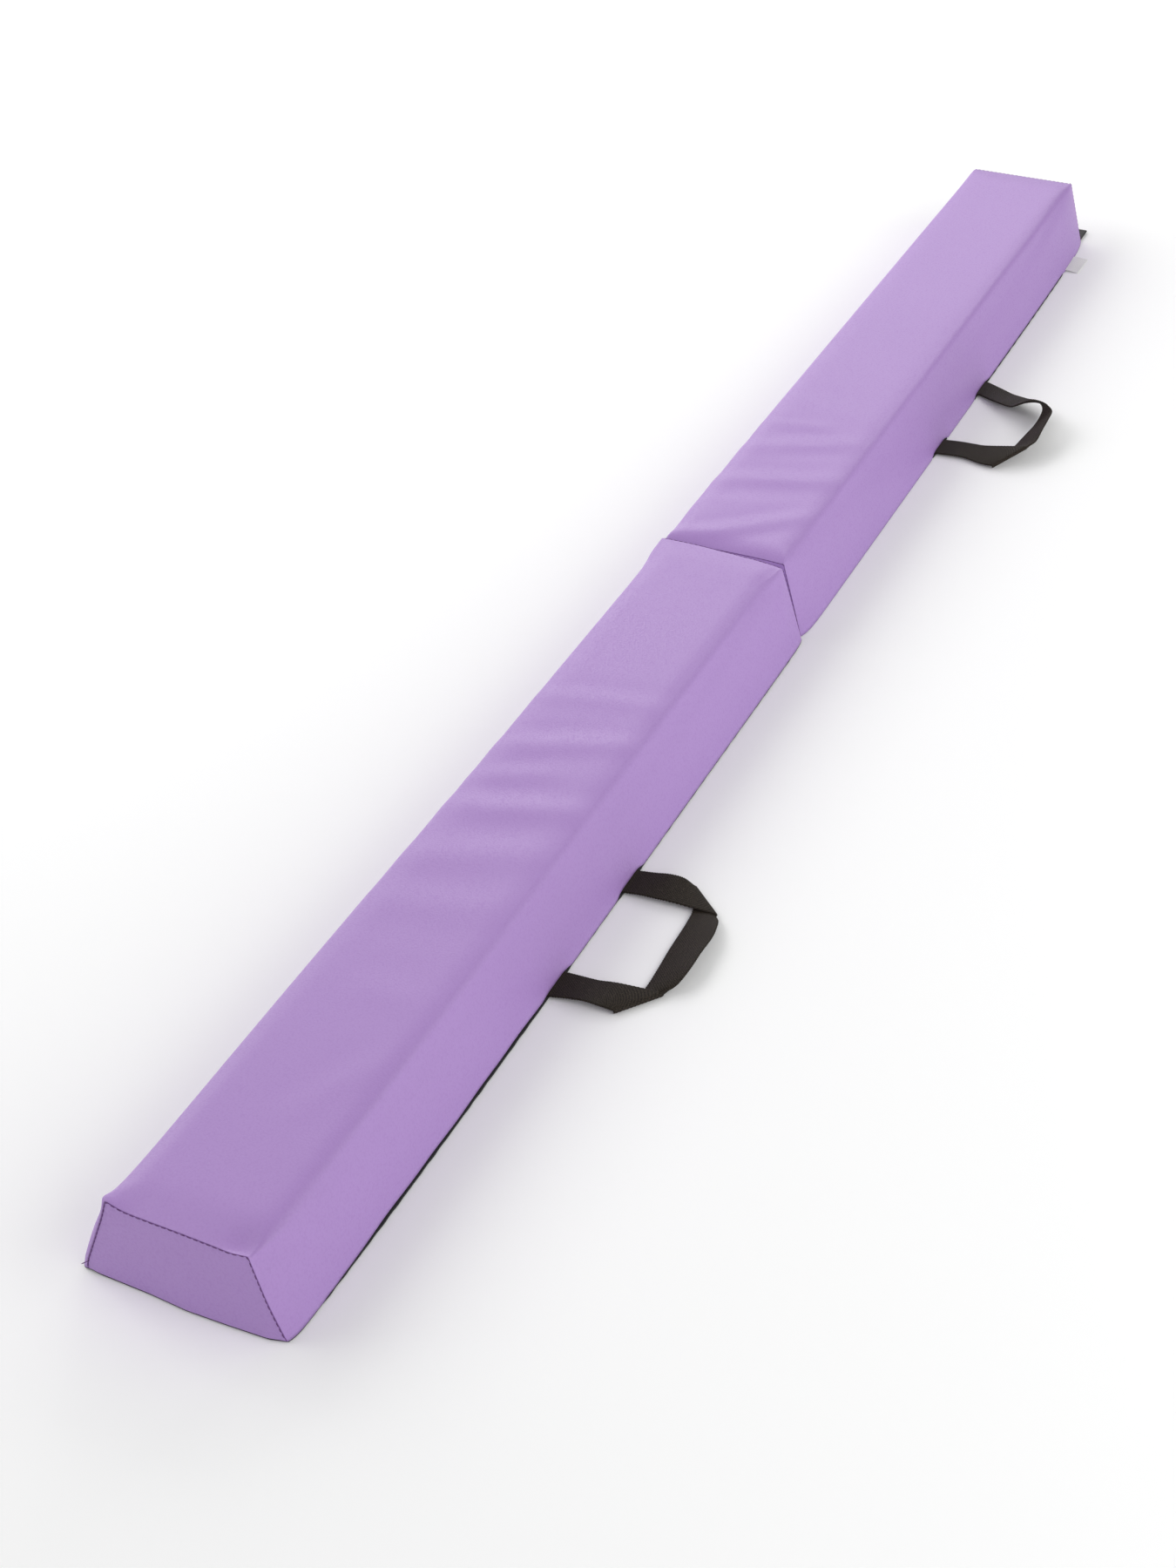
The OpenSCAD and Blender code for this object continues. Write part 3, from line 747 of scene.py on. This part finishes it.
def crossed(tree, place, turns, way):
    """Two waves, one along X and one along Y, multiplied: a woven pattern."""
    parts = add(tree, "ShaderNodeSeparateXYZ", {"Vector": place})
    waves = [add(tree, "ShaderNodeMath", {0: add(
        tree, "ShaderNodeMath", {0: parts.outputs[axis], 1: turns}, operation="MULTIPLY")},
        operation=way) for axis in ("X", "Y")]
    return add(tree, "ShaderNodeMath", {0: waves[0], 1: waves[1]}, operation="MULTIPLY")


def woven_group():
    """Plain weave: threads over and under in both directions."""
    tree, given = node_group("plain_weave", "ShaderNodeTree", {"Threads per metre": 1200},
                             {"Height": "Float"})
    scaled = add(tree, "ShaderNodeVectorMath", {0: position(tree), "Scale": given.outputs[0]},
                 operation="SCALE")
    woven = spread(tree, crossed(tree, scaled, math.pi, "SINE"), -1.0, 1.0)
    add(tree, "NodeGroupOutput", {"Height": woven})
    return tree


plain_weave = woven_group()


def woven_cloth(name, low, high, count, roughness):
    """Woven cloth: the low colour between the threads as painted shade, the high colour on them."""
    made, tree, shader = new_material(name, high, roughness)
    weave = add(tree, "ShaderNodeGroup", {"Threads per metre": count}, node_tree=plain_weave)
    patches = add(tree, "ShaderNodeGroup", {
        "Colour": (*high, 1), "Worn colour": (*[1.35 * c for c in high], 1),
        "Patches per metre": 14}, node_tree=handling)
    # The low colour sits where the weave is low: painted shade between the threads
    painted(tree, shader, mixed(tree, weave, (*low, 1), patches), weave, 0.7, 0.0003)
    return made


non_slip = woven_cloth("non_slip_black", (0.010, 0.010, 0.011), (0.030, 0.029, 0.031), 700, 0.8)
# A black binding, darker than the base cloth: partly its own black, partly painted shade for the
# gap under the hem
binding_black_and_gap_shade = woven_cloth("binding_black_and_gap_shade", (0.004, 0.004, 0.004), (0.012, 0.011, 0.012), 1500,
                            0.7)
black_thread = spun_thread("black_thread", (0.010, 0.009, 0.010), (0.035, 0.032, 0.034))


def base_edge(x, side):
    """From the middle line out to the edge of the base cloth, which shows where the hem is up."""
    shown = ease((hem_height(x, side) / MM - 0.8) / 0.6)
    wave = 0.2 * math.sin(x * 310) * math.sin(x * 47 + 0.6)
    return base_reach(x, side) + MM * (-1.8 + shown * (1.5 + wave))


def pressed(x, y):
    """Height of the underside, which is pressed in where a strip is sewn on below it."""
    edge = 1.5 * MM
    fold = min(leaf_high.x + 25 * MM - abs(x), leaf_high.y - abs(y)) + edge
    loop = min(x - loop_low.x, loop_high.x - x, loop_high.y - abs(y)) + edge
    return (0.85 * MM * ease(fold / edge) + 0.95 * MM * ease(loop / edge)).clip(0, 0.95 * MM)


across = 40
for half, side in (("near", -1), ("far", 1)):
    rings = []
    spots = np.concatenate([np.linspace(1.0 * MM, 40 * MM, 21),
                            np.linspace(42 * MM, half_len - 42 * MM, 240),
                            np.linspace(half_len - 40 * MM, half_len, 21)])
    for s in spots:
        x = side * (beam_end - s)
        left, right = base_edge(x, 1), base_edge(x, -1)
        ys = left - (left + right) * (1 - np.cos(np.linspace(0, math.pi, across))) / 2
        under = [(x, y, pressed(x, y)) for y in ys]
        over = [(x, y, cloth_t) for y in ys[::-1]]
        side_left, side_right = ((x, y, cloth_t / 2) for y in (left + 0.3 * MM,
                                                               -right - 0.3 * MM))
        rings.append(under + [side_right] + over + [side_left])
    ring = len(rings[0])
    points = settle(np.array(rings).reshape(-1, 3))
    faces = list(quads_between(len(rings), ring))
    for first in (0, (len(rings) - 1) * ring):
        cap = [(first + k, first + k + 1, first + 2 * across - 1 - k, first + 2 * across - k)
               for k in range(across - 1)]
        cap += [(first + 2 * across + 1, first, first + 2 * across),
                (first + across - 1, first + across, first + across + 1)]
        faces += [face[::-1] for face in cap] if first == 0 else cap
    base = piece(f"{half}_base_cloth", points, faces, non_slip)
    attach(base, f"{half}_half")
    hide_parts(f"{half}_base")

    # The rolled binding in the seam, on both long sides. Its deeper black is painted shade for the
    # gap under the hem
    for hand, word in ((-1, "handle"), (1, "plain")):
        rings = []
        for s in np.arange(3 * MM, half_len - 3 * MM, 1.25 * MM):
            x = side * (beam_end - s)
            lift = hem_height(x, hand) * (1 - (over_strap(x) if hand < 0 else 0))
            tall = max(0.3 * MM, (lift - 1.2 * MM) / 2)
            fat = 0.9 * MM * (1 + 0.18 * math.sin(s / (0.85 * MM)))
            mid = (base_reach(x, hand) - 1.7 * MM - 0.3 * lift, 1.2 * MM + tall)
            rings.append([(x, hand * (mid[0] + fat * math.cos(a)), mid[1] + tall * math.sin(a))
                          for a in np.arange(8) * math.pi / 4])
        roll = piece(f"{half}_{word}_side_binding", *tube(rings), binding_black_and_gap_shade)
        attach(roll, f"{half}_half")

# ---- Hinge strip ----
# One strip of strong woven cloth crosses the fold under both halves. It lies in a bed pressed
# into the base cloths, and is sewn down near both edges.


def cloth_slab(name, low, high, step, material, bend=None, corner=2 * MM):
    """A flat cloth with soft edges between two corners, on an even grid, shaped by bend."""
    counts = [max(2, int(round((high[k] - low[k]) / step)) + 1) for k in (0, 1)]
    xs, ys = (np.linspace(low[k], high[k], counts[k]) for k in (0, 1))
    grid = np.stack(np.meshgrid(xs, ys, indexing="ij"), -1).reshape(-1, 2)
    centre, half_size = (np.array(low[:2]) + high[:2]) / 2, (np.array(high[:2]) - low[:2]) / 2
    # Round the corners by pulling them in
    past = (np.abs(grid - centre) - (half_size - corner)).clip(0)
    reach = np.linalg.norm(past, axis=1)
    scale = np.where(reach > 1e-9, past.max(1) / reach.clip(1e-9), 1.0)
    inner = np.sign(grid - centre) * (np.abs(grid - centre) - past)
    grid = centre + inner + np.sign(grid - centre) * past * scale[:, None]
    cells = np.arange(len(grid)).reshape(counts)
    ring = np.concatenate([cells[:, 0], cells[-1, 1:], cells[-2::-1, -1], cells[0, -2:0:-1]])
    # The rim is thinner, which rounds the edges
    thick = (high[2] - low[2]) / 2 * np.where(np.isin(cells.ravel(), ring), 0.45, 1)
    points = np.concatenate([np.column_stack([grid, (low[2] + high[2]) / 2 + way * thick])
                             for way in (-1, 1)])
    under = np.stack([cells[:-1, :-1], cells[:-1, 1:], cells[1:, 1:], cells[1:, :-1]], -1)
    under = under.reshape(-1, 4)
    over, after = under[:, [0, 3, 2, 1]] + len(grid), np.roll(ring, -1)
    wall = np.stack([ring, after, after + len(grid), ring + len(grid)], -1)
    if bend is not None:
        points = bend(points)
    return piece(name, points, np.concatenate([under, over, wall]), material)


hinge_cloth = woven_cloth("hinge_weave", (0.008, 0.008, 0.009), (0.040, 0.039, 0.042), 900, 0.75)
hinge_half = leaf_high.x - leaf_low.x
hinge_top = leaf_high.z
hinge = cloth_slab("hinge_strip", (-hinge_half, leaf_low.y, 0.05 * MM),
                   (hinge_half, leaf_high.y, hinge_top), 0.7 * MM, hinge_cloth)
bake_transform(hinge)
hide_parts("near_hinge_leaf", "far_hinge_leaf")

# Rows of lockstitch under each base: round the base's edge and along the hinge strip
stitch_z, strip_stitch_z = 0.25 * MM, 0.15 * MM
for half, side in (("near", -1), ("far", 1)):
    paths = []
    for hand in (-1, 1):
        spots = np.arange(8 * MM, half_len - 8 * MM, 4 * MM)
        xs = side * (beam_end - spots)
        paths.append([(x, hand * (base_reach(x, hand) - 6 * MM), stitch_z) for x in xs])
    reach = base_reach(side * beam_end, -1) - 8 * MM
    paths.append([(side * (beam_end - 7 * MM), y, stitch_z)
                  for y in np.linspace(-reach, reach, 40)])
    for row_x in (hinge_half - 4 * MM, hinge_half - 8 * MM):
        paths.append([(side * row_x, y, strip_stitch_z)
                      for y in np.linspace(leaf_low.y + 4 * MM, leaf_high.y - 4 * MM, 40)])
    paths = [settle(path) for path in paths]
    rows = sewn(f"{half}_base_stitches", paths, black_thread, pitch=4.0 * MM,
                stitch_length=3.2 * MM, thread_radius=0.32 * MM)
    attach(rows, f"{half}_half")

# ---- Handles ----
# Each handle is one strap of black webbing, 30 mm wide. Both ends are sewn into the seam under
# the hem, and between them the strap is turned over on the diagonal or up onto its edge.

near_tail_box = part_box("near_handle_tails")
strap_w = 30.0
strap_t = (near_tail_box[1].z - near_tail_box[0].z) / MM
leg_pitch = (near_tail_box[1].x - near_tail_box[0].x) / MM - strap_w
tail_len = 14.0
handle_reach = 90.0
outer_u, inner_u = (leg_pitch + strap_w) / 2, (leg_pitch - strap_w) / 2
grip_v = handle_reach - strap_w
strap_z = hem_z / MM + strap_t / 2
seam_y = 82.0
bend_v = 1.5
rib, rib_relief, edge_knot = 2.2 * MM, 0.22 * MM, 0.45 * MM


def eased(rows, steps=12):
    """Smooth rulings through the given ones."""
    rows = np.array(rows, float)
    made = []
    for i in range(len(rows) - 1):
        p0, p1, p2 = rows[max(i - 1, 0)], rows[i], rows[i + 1]
        p3 = rows[min(i + 2, len(rows) - 1)]
        for s in np.arange(steps) / steps:
            made.append(0.5 * (2 * p1 + s * (p2 - p0) + s * s * (2 * p0 - 5 * p1 + 4 * p2 - p3)
                               + s ** 3 * (3 * p1 - p0 - 3 * p2 + p3)))
    return np.array(made + [rows[-1]])


def fold_over(a, b, from_z, to_z, side, rise=0.0, steps=16):
    """Half a turn about the crease from a to b, between two heights, both higher by rise at b."""
    a, b = np.array(a, float), np.array(b, float)
    d = (b - a) / np.linalg.norm(b - a)
    out = side * np.array([-d[1], d[0]])
    r, z = (from_z - to_z) / 2, (from_z + to_z) / 2
    made = []
    for k in range(steps + 1):
        angle = math.pi * (0.5 - k / steps)
        shift, up = abs(r) * math.cos(angle) * out, z + r * math.sin(angle)
        made.append([[*(a + shift), up], [*(b + shift), up + rise]])
    return np.array(made)


def w(share):
    """A share of the webbing's width."""
    return share * strap_w


def at_hem(side):
    """The ruling where a leg comes out under the hem."""
    return [[side * edge, bend_v, strap_z] for edge in (outer_u, inner_u)]


def leg(side, rows):
    """Rulings across a leg, from its outer edge to its inner one. Each edge has its shift, its
    share of the reach, and its height. Shifts and heights are shares of the width."""
    return [[[side * edge + w(shift), out * handle_reach, w(up)]
             for (shift, out, up), edge in zip(row, (outer_u, inner_u))] for row in rows]


def grip(rows):
    """Rulings across a grip, from its inner edge to its outer one. Each edge starts from a leg's
    inner edge (-1 or 1) or from the middle (0), and has its shift from there, its distance
    past the straight strap's edge, and its height, all three in shares of the width."""
    return [[[leg_side * inner_u + w(shift), edge + w(out), w(up)]
             for (leg_side, shift, out, up), edge in zip(row, (grip_v, handle_reach))]
            for row in rows]


near_fold_1 = fold_over([-outer_u + w(0.07), grip_v - w(0.33)],
                        [-inner_u + w(0.17), grip_v + w(0.52)], w(0.14), w(0.06), 1)
near_fold_2 = fold_over([outer_u - w(0.10), grip_v - w(0.40)],
                        [inner_u + w(0.03), grip_v + w(0.55)], w(0.06), w(0.14), -1)
near_leg_1 = [at_hem(-1), *leg(-1, [
    ((0.02, 0.14, 0.15), (0, 0.14, 0.09)), ((0.03, 0.30, 0.22), (0, 0.30, 0.11)),
    ((0.02, 0.43, 0.21), (0.05, 0.47, 0.16))]), near_fold_1[0]]
near_grip = [near_fold_1[-1], *grip([
    ((-1, -0.33, -0.12, 0.06), (-1, 0.29, -0.37, 0.16)),
    ((-1, 0.20, 0.02, 0.06), (-1, 0.50, -0.21, 0.27)),
    ((0, -0.67, 0.01, 0.06), (0, -0.70, -0.11, 0.38)),
    ((0, 0, -0.02, 0.06), (0, -0.03, -0.11, 0.37)),
    ((0, 0.67, -0.03, 0.06), (0, 0.63, -0.10, 0.33)),
    ((1, -0.50, -0.04, 0.06), (1, -0.67, -0.16, 0.27)),
    ((1, 0.07, -0.10, 0.06), (1, -0.23, -0.28, 0.17))]), near_fold_2[0]]
near_leg_2 = [near_fold_2[-1], *leg(1, [
    ((-0.03, 0.43, 0.25), (0, 0.46, 0.18)), ((-0.02, 0.30, 0.25), (0, 0.30, 0.16)),
    ((-0.01, 0.15, 0.15), (0, 0.15, 0.14))]), at_hem(1)]
far_fold = fold_over([-outer_u - w(0.20), grip_v - w(0.07)],
                     [-inner_u - w(0.30), grip_v + w(0.80)], w(0.14), w(0.07), 1, w(0.45))
far_leg_1 = [at_hem(-1), *leg(-1, [
    ((0.03, 0.17, 0.10), (0, 0.17, 0.12)), ((0.03, 0.32, 0.10), (-0.07, 0.33, 0.17)),
    ((-0.13, 0.50, 0.10), (-0.15, 0.49, 0.25))]), far_fold[0]]
far_grip = [far_fold[-1], *grip([
    ((-1, -0.47, 0.04, 0.06), (-1, -0.13, -0.13, 0.57)),
    ((-1, 0.37, 0.18, 0.06), (-1, 0.20, -0.02, 0.60)),
    ((0, -0.83, 0.25, 0.07), (0, -0.93, 0, 0.73)), ((0, -0.23, 0.32, 0.07), (0, -0.27, 0, 0.80)),
    ((0, 0.27, 0.37, 0.06), (0, 0.17, -0.03, 0.85)),
    ((0, 0.73, 0.40, 0.07), (0, 0.37, -0.27, 0.93)),
    ((0, 1.10, 0.53, 0.15), (0, 0.48, -0.50, 0.94)),
    ((1, -0.37, 0.55, 0.30), (0, 0.60, -0.71, 0.88)),
    ((1, -0.20, 0.35, 0.34), (0, 0.69, -0.97, 0.78)),
    ((1, -0.08, 0.03, 0.33), (0, 0.75, -1.29, 0.57)),
    ((1, 0.03, -0.23, 0.26), (0, 0.87, -1.62, 0.33)),
    ((1, 0.20, -0.53, 0.19), (0, 1.10, -2.07, 0.25)),
    ((1, 0.47, -0.92, 0.09), (1, -0.33, -2.52, 0.17)),
    ((1, 0.73, -1.37, 0.07), (1, -0.13, -2.79, 0.12))]), at_hem(1)]


def webbing_strap(name, rulings, middle_x, material):
    """Woven webbing along rulings: ribs over and under on both faces, and knotty edges."""
    tails = [[[[edge[0], v, strap_z] for edge in row]
              for v in np.linspace(1 - tail_len, bend_v - 1, 8)] for row in rulings[[0, -1]]]
    rows = np.concatenate([tails[0], rulings, tails[1][::-1]])
    rows = np.stack([middle_x + rows[..., 0] * MM, -(seam_y + rows[..., 1]) * MM,
                     rows[..., 2] * MM], -1)
    mids = rows.mean(1)
    steps = np.linalg.norm(np.diff(mids, axis=0), axis=1)
    keep = np.append(True, steps > 0.02 * MM)
    rows, mids = rows[keep], mids[keep]
    run = np.append(0, np.cumsum(np.linalg.norm(np.diff(mids, axis=0), axis=1)))
    along_step, count = 0.6 * MM, 50
    along = np.linspace(0, run[-1], int(run[-1] / along_step))
    # Even out the kinks between rulings before laying the weave
    edges = evened(resampled(rows.reshape(-1, 6), run, along), 4, 2.2).reshape(-1, 2, 3)
    aims = np.gradient(edges.mean(1), axis=0)
    aims /= np.linalg.norm(aims, axis=1)[:, None]
    lifts = np.cross(aims, edges[:, 1] - edges[:, 0])
    lifts /= np.linalg.norm(lifts, axis=1)[:, None]
    share = np.linspace(-1, 1, count)
    widths = np.linalg.norm(edges[:, 1] - edges[:, 0], axis=1)
    u = along[:, None]
    v = share[None] * strap_w * MM / 2
    knots = edge_knot * np.cos(2 * math.pi * u / rib)
    half_t = strap_t * MM / 2 - 0.12 * MM
    swell = np.sqrt((1 - (np.abs(share) - 0.955).clip(0) ** 2 / 0.045 ** 2).clip(0.04))[None]
    weave = rib_relief * np.cos(math.pi * u / rib * 2) * np.cos(math.pi * v / rib * 2)
    layers = []
    for way in (-1, 1):
        off = way * (half_t * swell + weave * swell)
        at = (edges[:, 0, None] * (1 - share[None, :, None]) / 2
              + edges[:, 1, None] * (1 + share[None, :, None]) / 2)
        rim = (np.abs(share) > 0.93)[None] * np.sign(share)[None] * knots
        across = (edges[:, 1] - edges[:, 0]) / widths[:, None]
        layers.append(at + off[..., None] * lifts[:, None] + rim[..., None] * across[:, None])
    rings = np.concatenate([layers[0], layers[1][:, ::-1]], 1)
    ring = 2 * count
    points = rings.reshape(-1, 3)
    faces = list(quads_between(len(rings), ring))
    last = (len(rings) - 1) * ring
    for first in (0, last):
        faces += [(first + k, first + k + 1, first + ring - 2 - k, first + ring - 1 - k)[
            :: (-1 if first == 0 else 1)] for k in range(count - 1)]
    strap = piece(name, points, faces, material)
    uv = strap.data.uv_layers.new(name="along_and_across")
    flat = np.stack(np.broadcast_arrays(u, np.concatenate([v, v[:, ::-1]], 1)), -1).reshape(-1, 2)
    corner = np.empty(len(strap.data.loops), np.int32)
    strap.data.loops.foreach_get("vertex_index", corner)
    uv.data.foreach_set("uv", flat[corner].ravel().astype(np.float32))
    return strap


def webbing_black():
    """Brown-black woven polypropylene: a painted highlight on the ribs, painted shade in the gaps,
    and a few pale fibres.
    """
    made, tree, shader = new_material("webbing_black", (0.014, 0.011, 0.009), 0.6)
    shader.inputs["Specular IOR Level"].default_value = 0.14
    flat = add(tree, "ShaderNodeUVMap", uv_map="along_and_across")
    ribs = spread(tree, crossed(tree, flat, 2 * math.pi / rib, "COSINE"), -1.0, 1.0)
    fibre = add(tree, "ShaderNodeTexNoise", {"Vector": position(tree), "Scale": 1500, "Detail": 3})
    # Painted highlight on the rib crests and painted shade in the gaps, in step with the weave's
    # relief
    woven = mixed(tree, ribs, (0.002, 0.0015, 0.001, 1), (0.038, 0.029, 0.021, 1))
    tone = mixed(tree, spread(tree, fibre, 0.52, 0.80), woven, (0.085, 0.068, 0.051, 1))
    painted(tree, shader, tone, fibre, 0.5, 0.0002)
    return made


webbing = webbing_black()
near_rulings = np.concatenate([eased(near_leg_1), near_fold_1, eased(near_grip), near_fold_2,
                               eased(near_leg_2)])
far_rulings = np.concatenate([eased(far_leg_1), far_fold, eased(far_grip)])
for half, rulings in (("near", near_rulings), ("far", far_rulings)):
    middle_x = sum(strap_legs[half]) / 2
    strap = webbing_strap(f"{half}_webbing_strap", rulings, middle_x, webbing)
    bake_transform(strap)
    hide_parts(f"{half}_handle", f"{half}_handle_tails")

# ---- Link flap ----
# A flap of black cloth is sewn under the far end. It carries a strip of hooks that takes the
# strip of loops under the near end of the next beam.

tab_low, flap_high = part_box("link_tab")[0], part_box("link_flap")[1]
flap_cloth = woven_cloth("flap_weave", (0.006, 0.005, 0.006), (0.030, 0.027, 0.030), 450, 0.7)
flap = cloth_slab("link_flap_cloth", tab_low, flap_high, 1.6 * MM, flap_cloth)
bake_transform(flap)
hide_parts("link_tab", "link_flap")

# ---- Hook and loop strips ----
# Woven tape with a field of stiff little hooks on the flap, and one of soft loops under the
# near end.


def pile_tree():
    """Small bent threads standing in rows on a strip."""
    tree, given = node_group(
        "pile", "GeometryNodeTree",
        {"Strip": "Geometry", "Length": 0.016, "Width": 0.12, "Pitch": 0.0017,
         "Height": 0.0006, "Thread": "Material"}, {"Pile": "Geometry"})
    length, width, pitch, height, thread = given.outputs[1:6]
    counts = [add(tree, "ShaderNodeMath", {0: side, 1: pitch}, operation="DIVIDE")
              for side in (length, width)]
    field = add(tree, "GeometryNodeMeshGrid", {
        "Size X": length, "Size Y": width, "Vertices X": counts[0], "Vertices Y": counts[1]})
    arch = add(tree, "GeometryNodeCurveArc", {
        "Resolution": 6, "Radius": 1.0, "Sweep Angle": math.radians(200)})
    wire = add(tree, "GeometryNodeCurvePrimitiveCircle", {"Resolution": 4, "Radius": 0.22})
    loop = add(tree, "GeometryNodeCurveToMesh", {
        "Curve": arch, "Profile Curve": wire, "Fill Caps": True})
    stand = add(tree, "GeometryNodeTransform", {
        "Geometry": loop, "Rotation": (math.radians(90), 0, 0)})
    lean = add(tree, "FunctionNodeRandomValue", {
        0: (-0.25, -0.25, -0.6), 1: (0.25, 0.25, 0.6), "Seed": 7}, data_type="FLOAT_VECTOR")
    return handed_out(tree, field, stand, lean, height, thread, "Pile")


pile = pile_tree()
tape_black = woven_cloth("tape_black", (0.006, 0.006, 0.007), (0.024, 0.023, 0.025), 1600, 0.6)
web_t = 0.5 * MM
for name, way, body, node in (("hook", 1, "link_flap", "hook_strip"),
                              ("loop", -1, "near_half", "near_loop_strip")):
    low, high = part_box(node)
    faces_z = (low.z, low.z + web_t) if way > 0 else (high.z - web_t, high.z)
    tape = cloth_slab(f"{name}_tape", (low.x, low.y, faces_z[0]), (high.x, high.y, faces_z[1]),
                      2 * MM, tape_black)
    hooks = grown(f"{name}_field", bpy.data.meshes.new(f"{name}_field"), pile,
                  length=high.x - low.x - 3 * MM, width=high.y - low.y - 4 * MM,
                  height=0.34 * MM, thread=tape_black)
    at = places(hooks.data)
    at[:, 2] *= way
    at += ((low.x + high.x) / 2, (low.y + high.y) / 2, faces_z[1] if way > 0 else faces_z[0])
    place_all(hooks.data, at)
    if way < 0:
        hooks.data.flip_normals()
    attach(tape, body)
    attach(hooks, body)
    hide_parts(node)

# ---- Tag ----
# A blank folded tag of white tape is caught in the seam near the far end. It hangs down to the
# floor.

tag_low, tag_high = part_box("care_tag")
tag_white = woven_cloth("tag_tape", (0.78, 0.78, 0.76), (0.90, 0.90, 0.88), 2600, 0.6)


def drooped(points):
    """Lets the tag's loose edge down to the floor with a slight curl."""
    p = points.copy()
    out = ((-seam_y * MM - p[:, 1]) / (tag_high.y - tag_low.y)).clip(0)
    p[:, 2] -= (tag_low.z - 0.25 * MM) * ease(out * 2.2)
    p[:, 2] += 1.1 * MM * out * np.sin((p[:, 0] - tag_low.x) * 120) ** 2
    return p


tag = cloth_slab("care_tag_tape", tag_low, tag_high, 1.0 * MM, tag_white, drooped, 1 * MM)
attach(tag, "far_half")
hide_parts("care_tag")
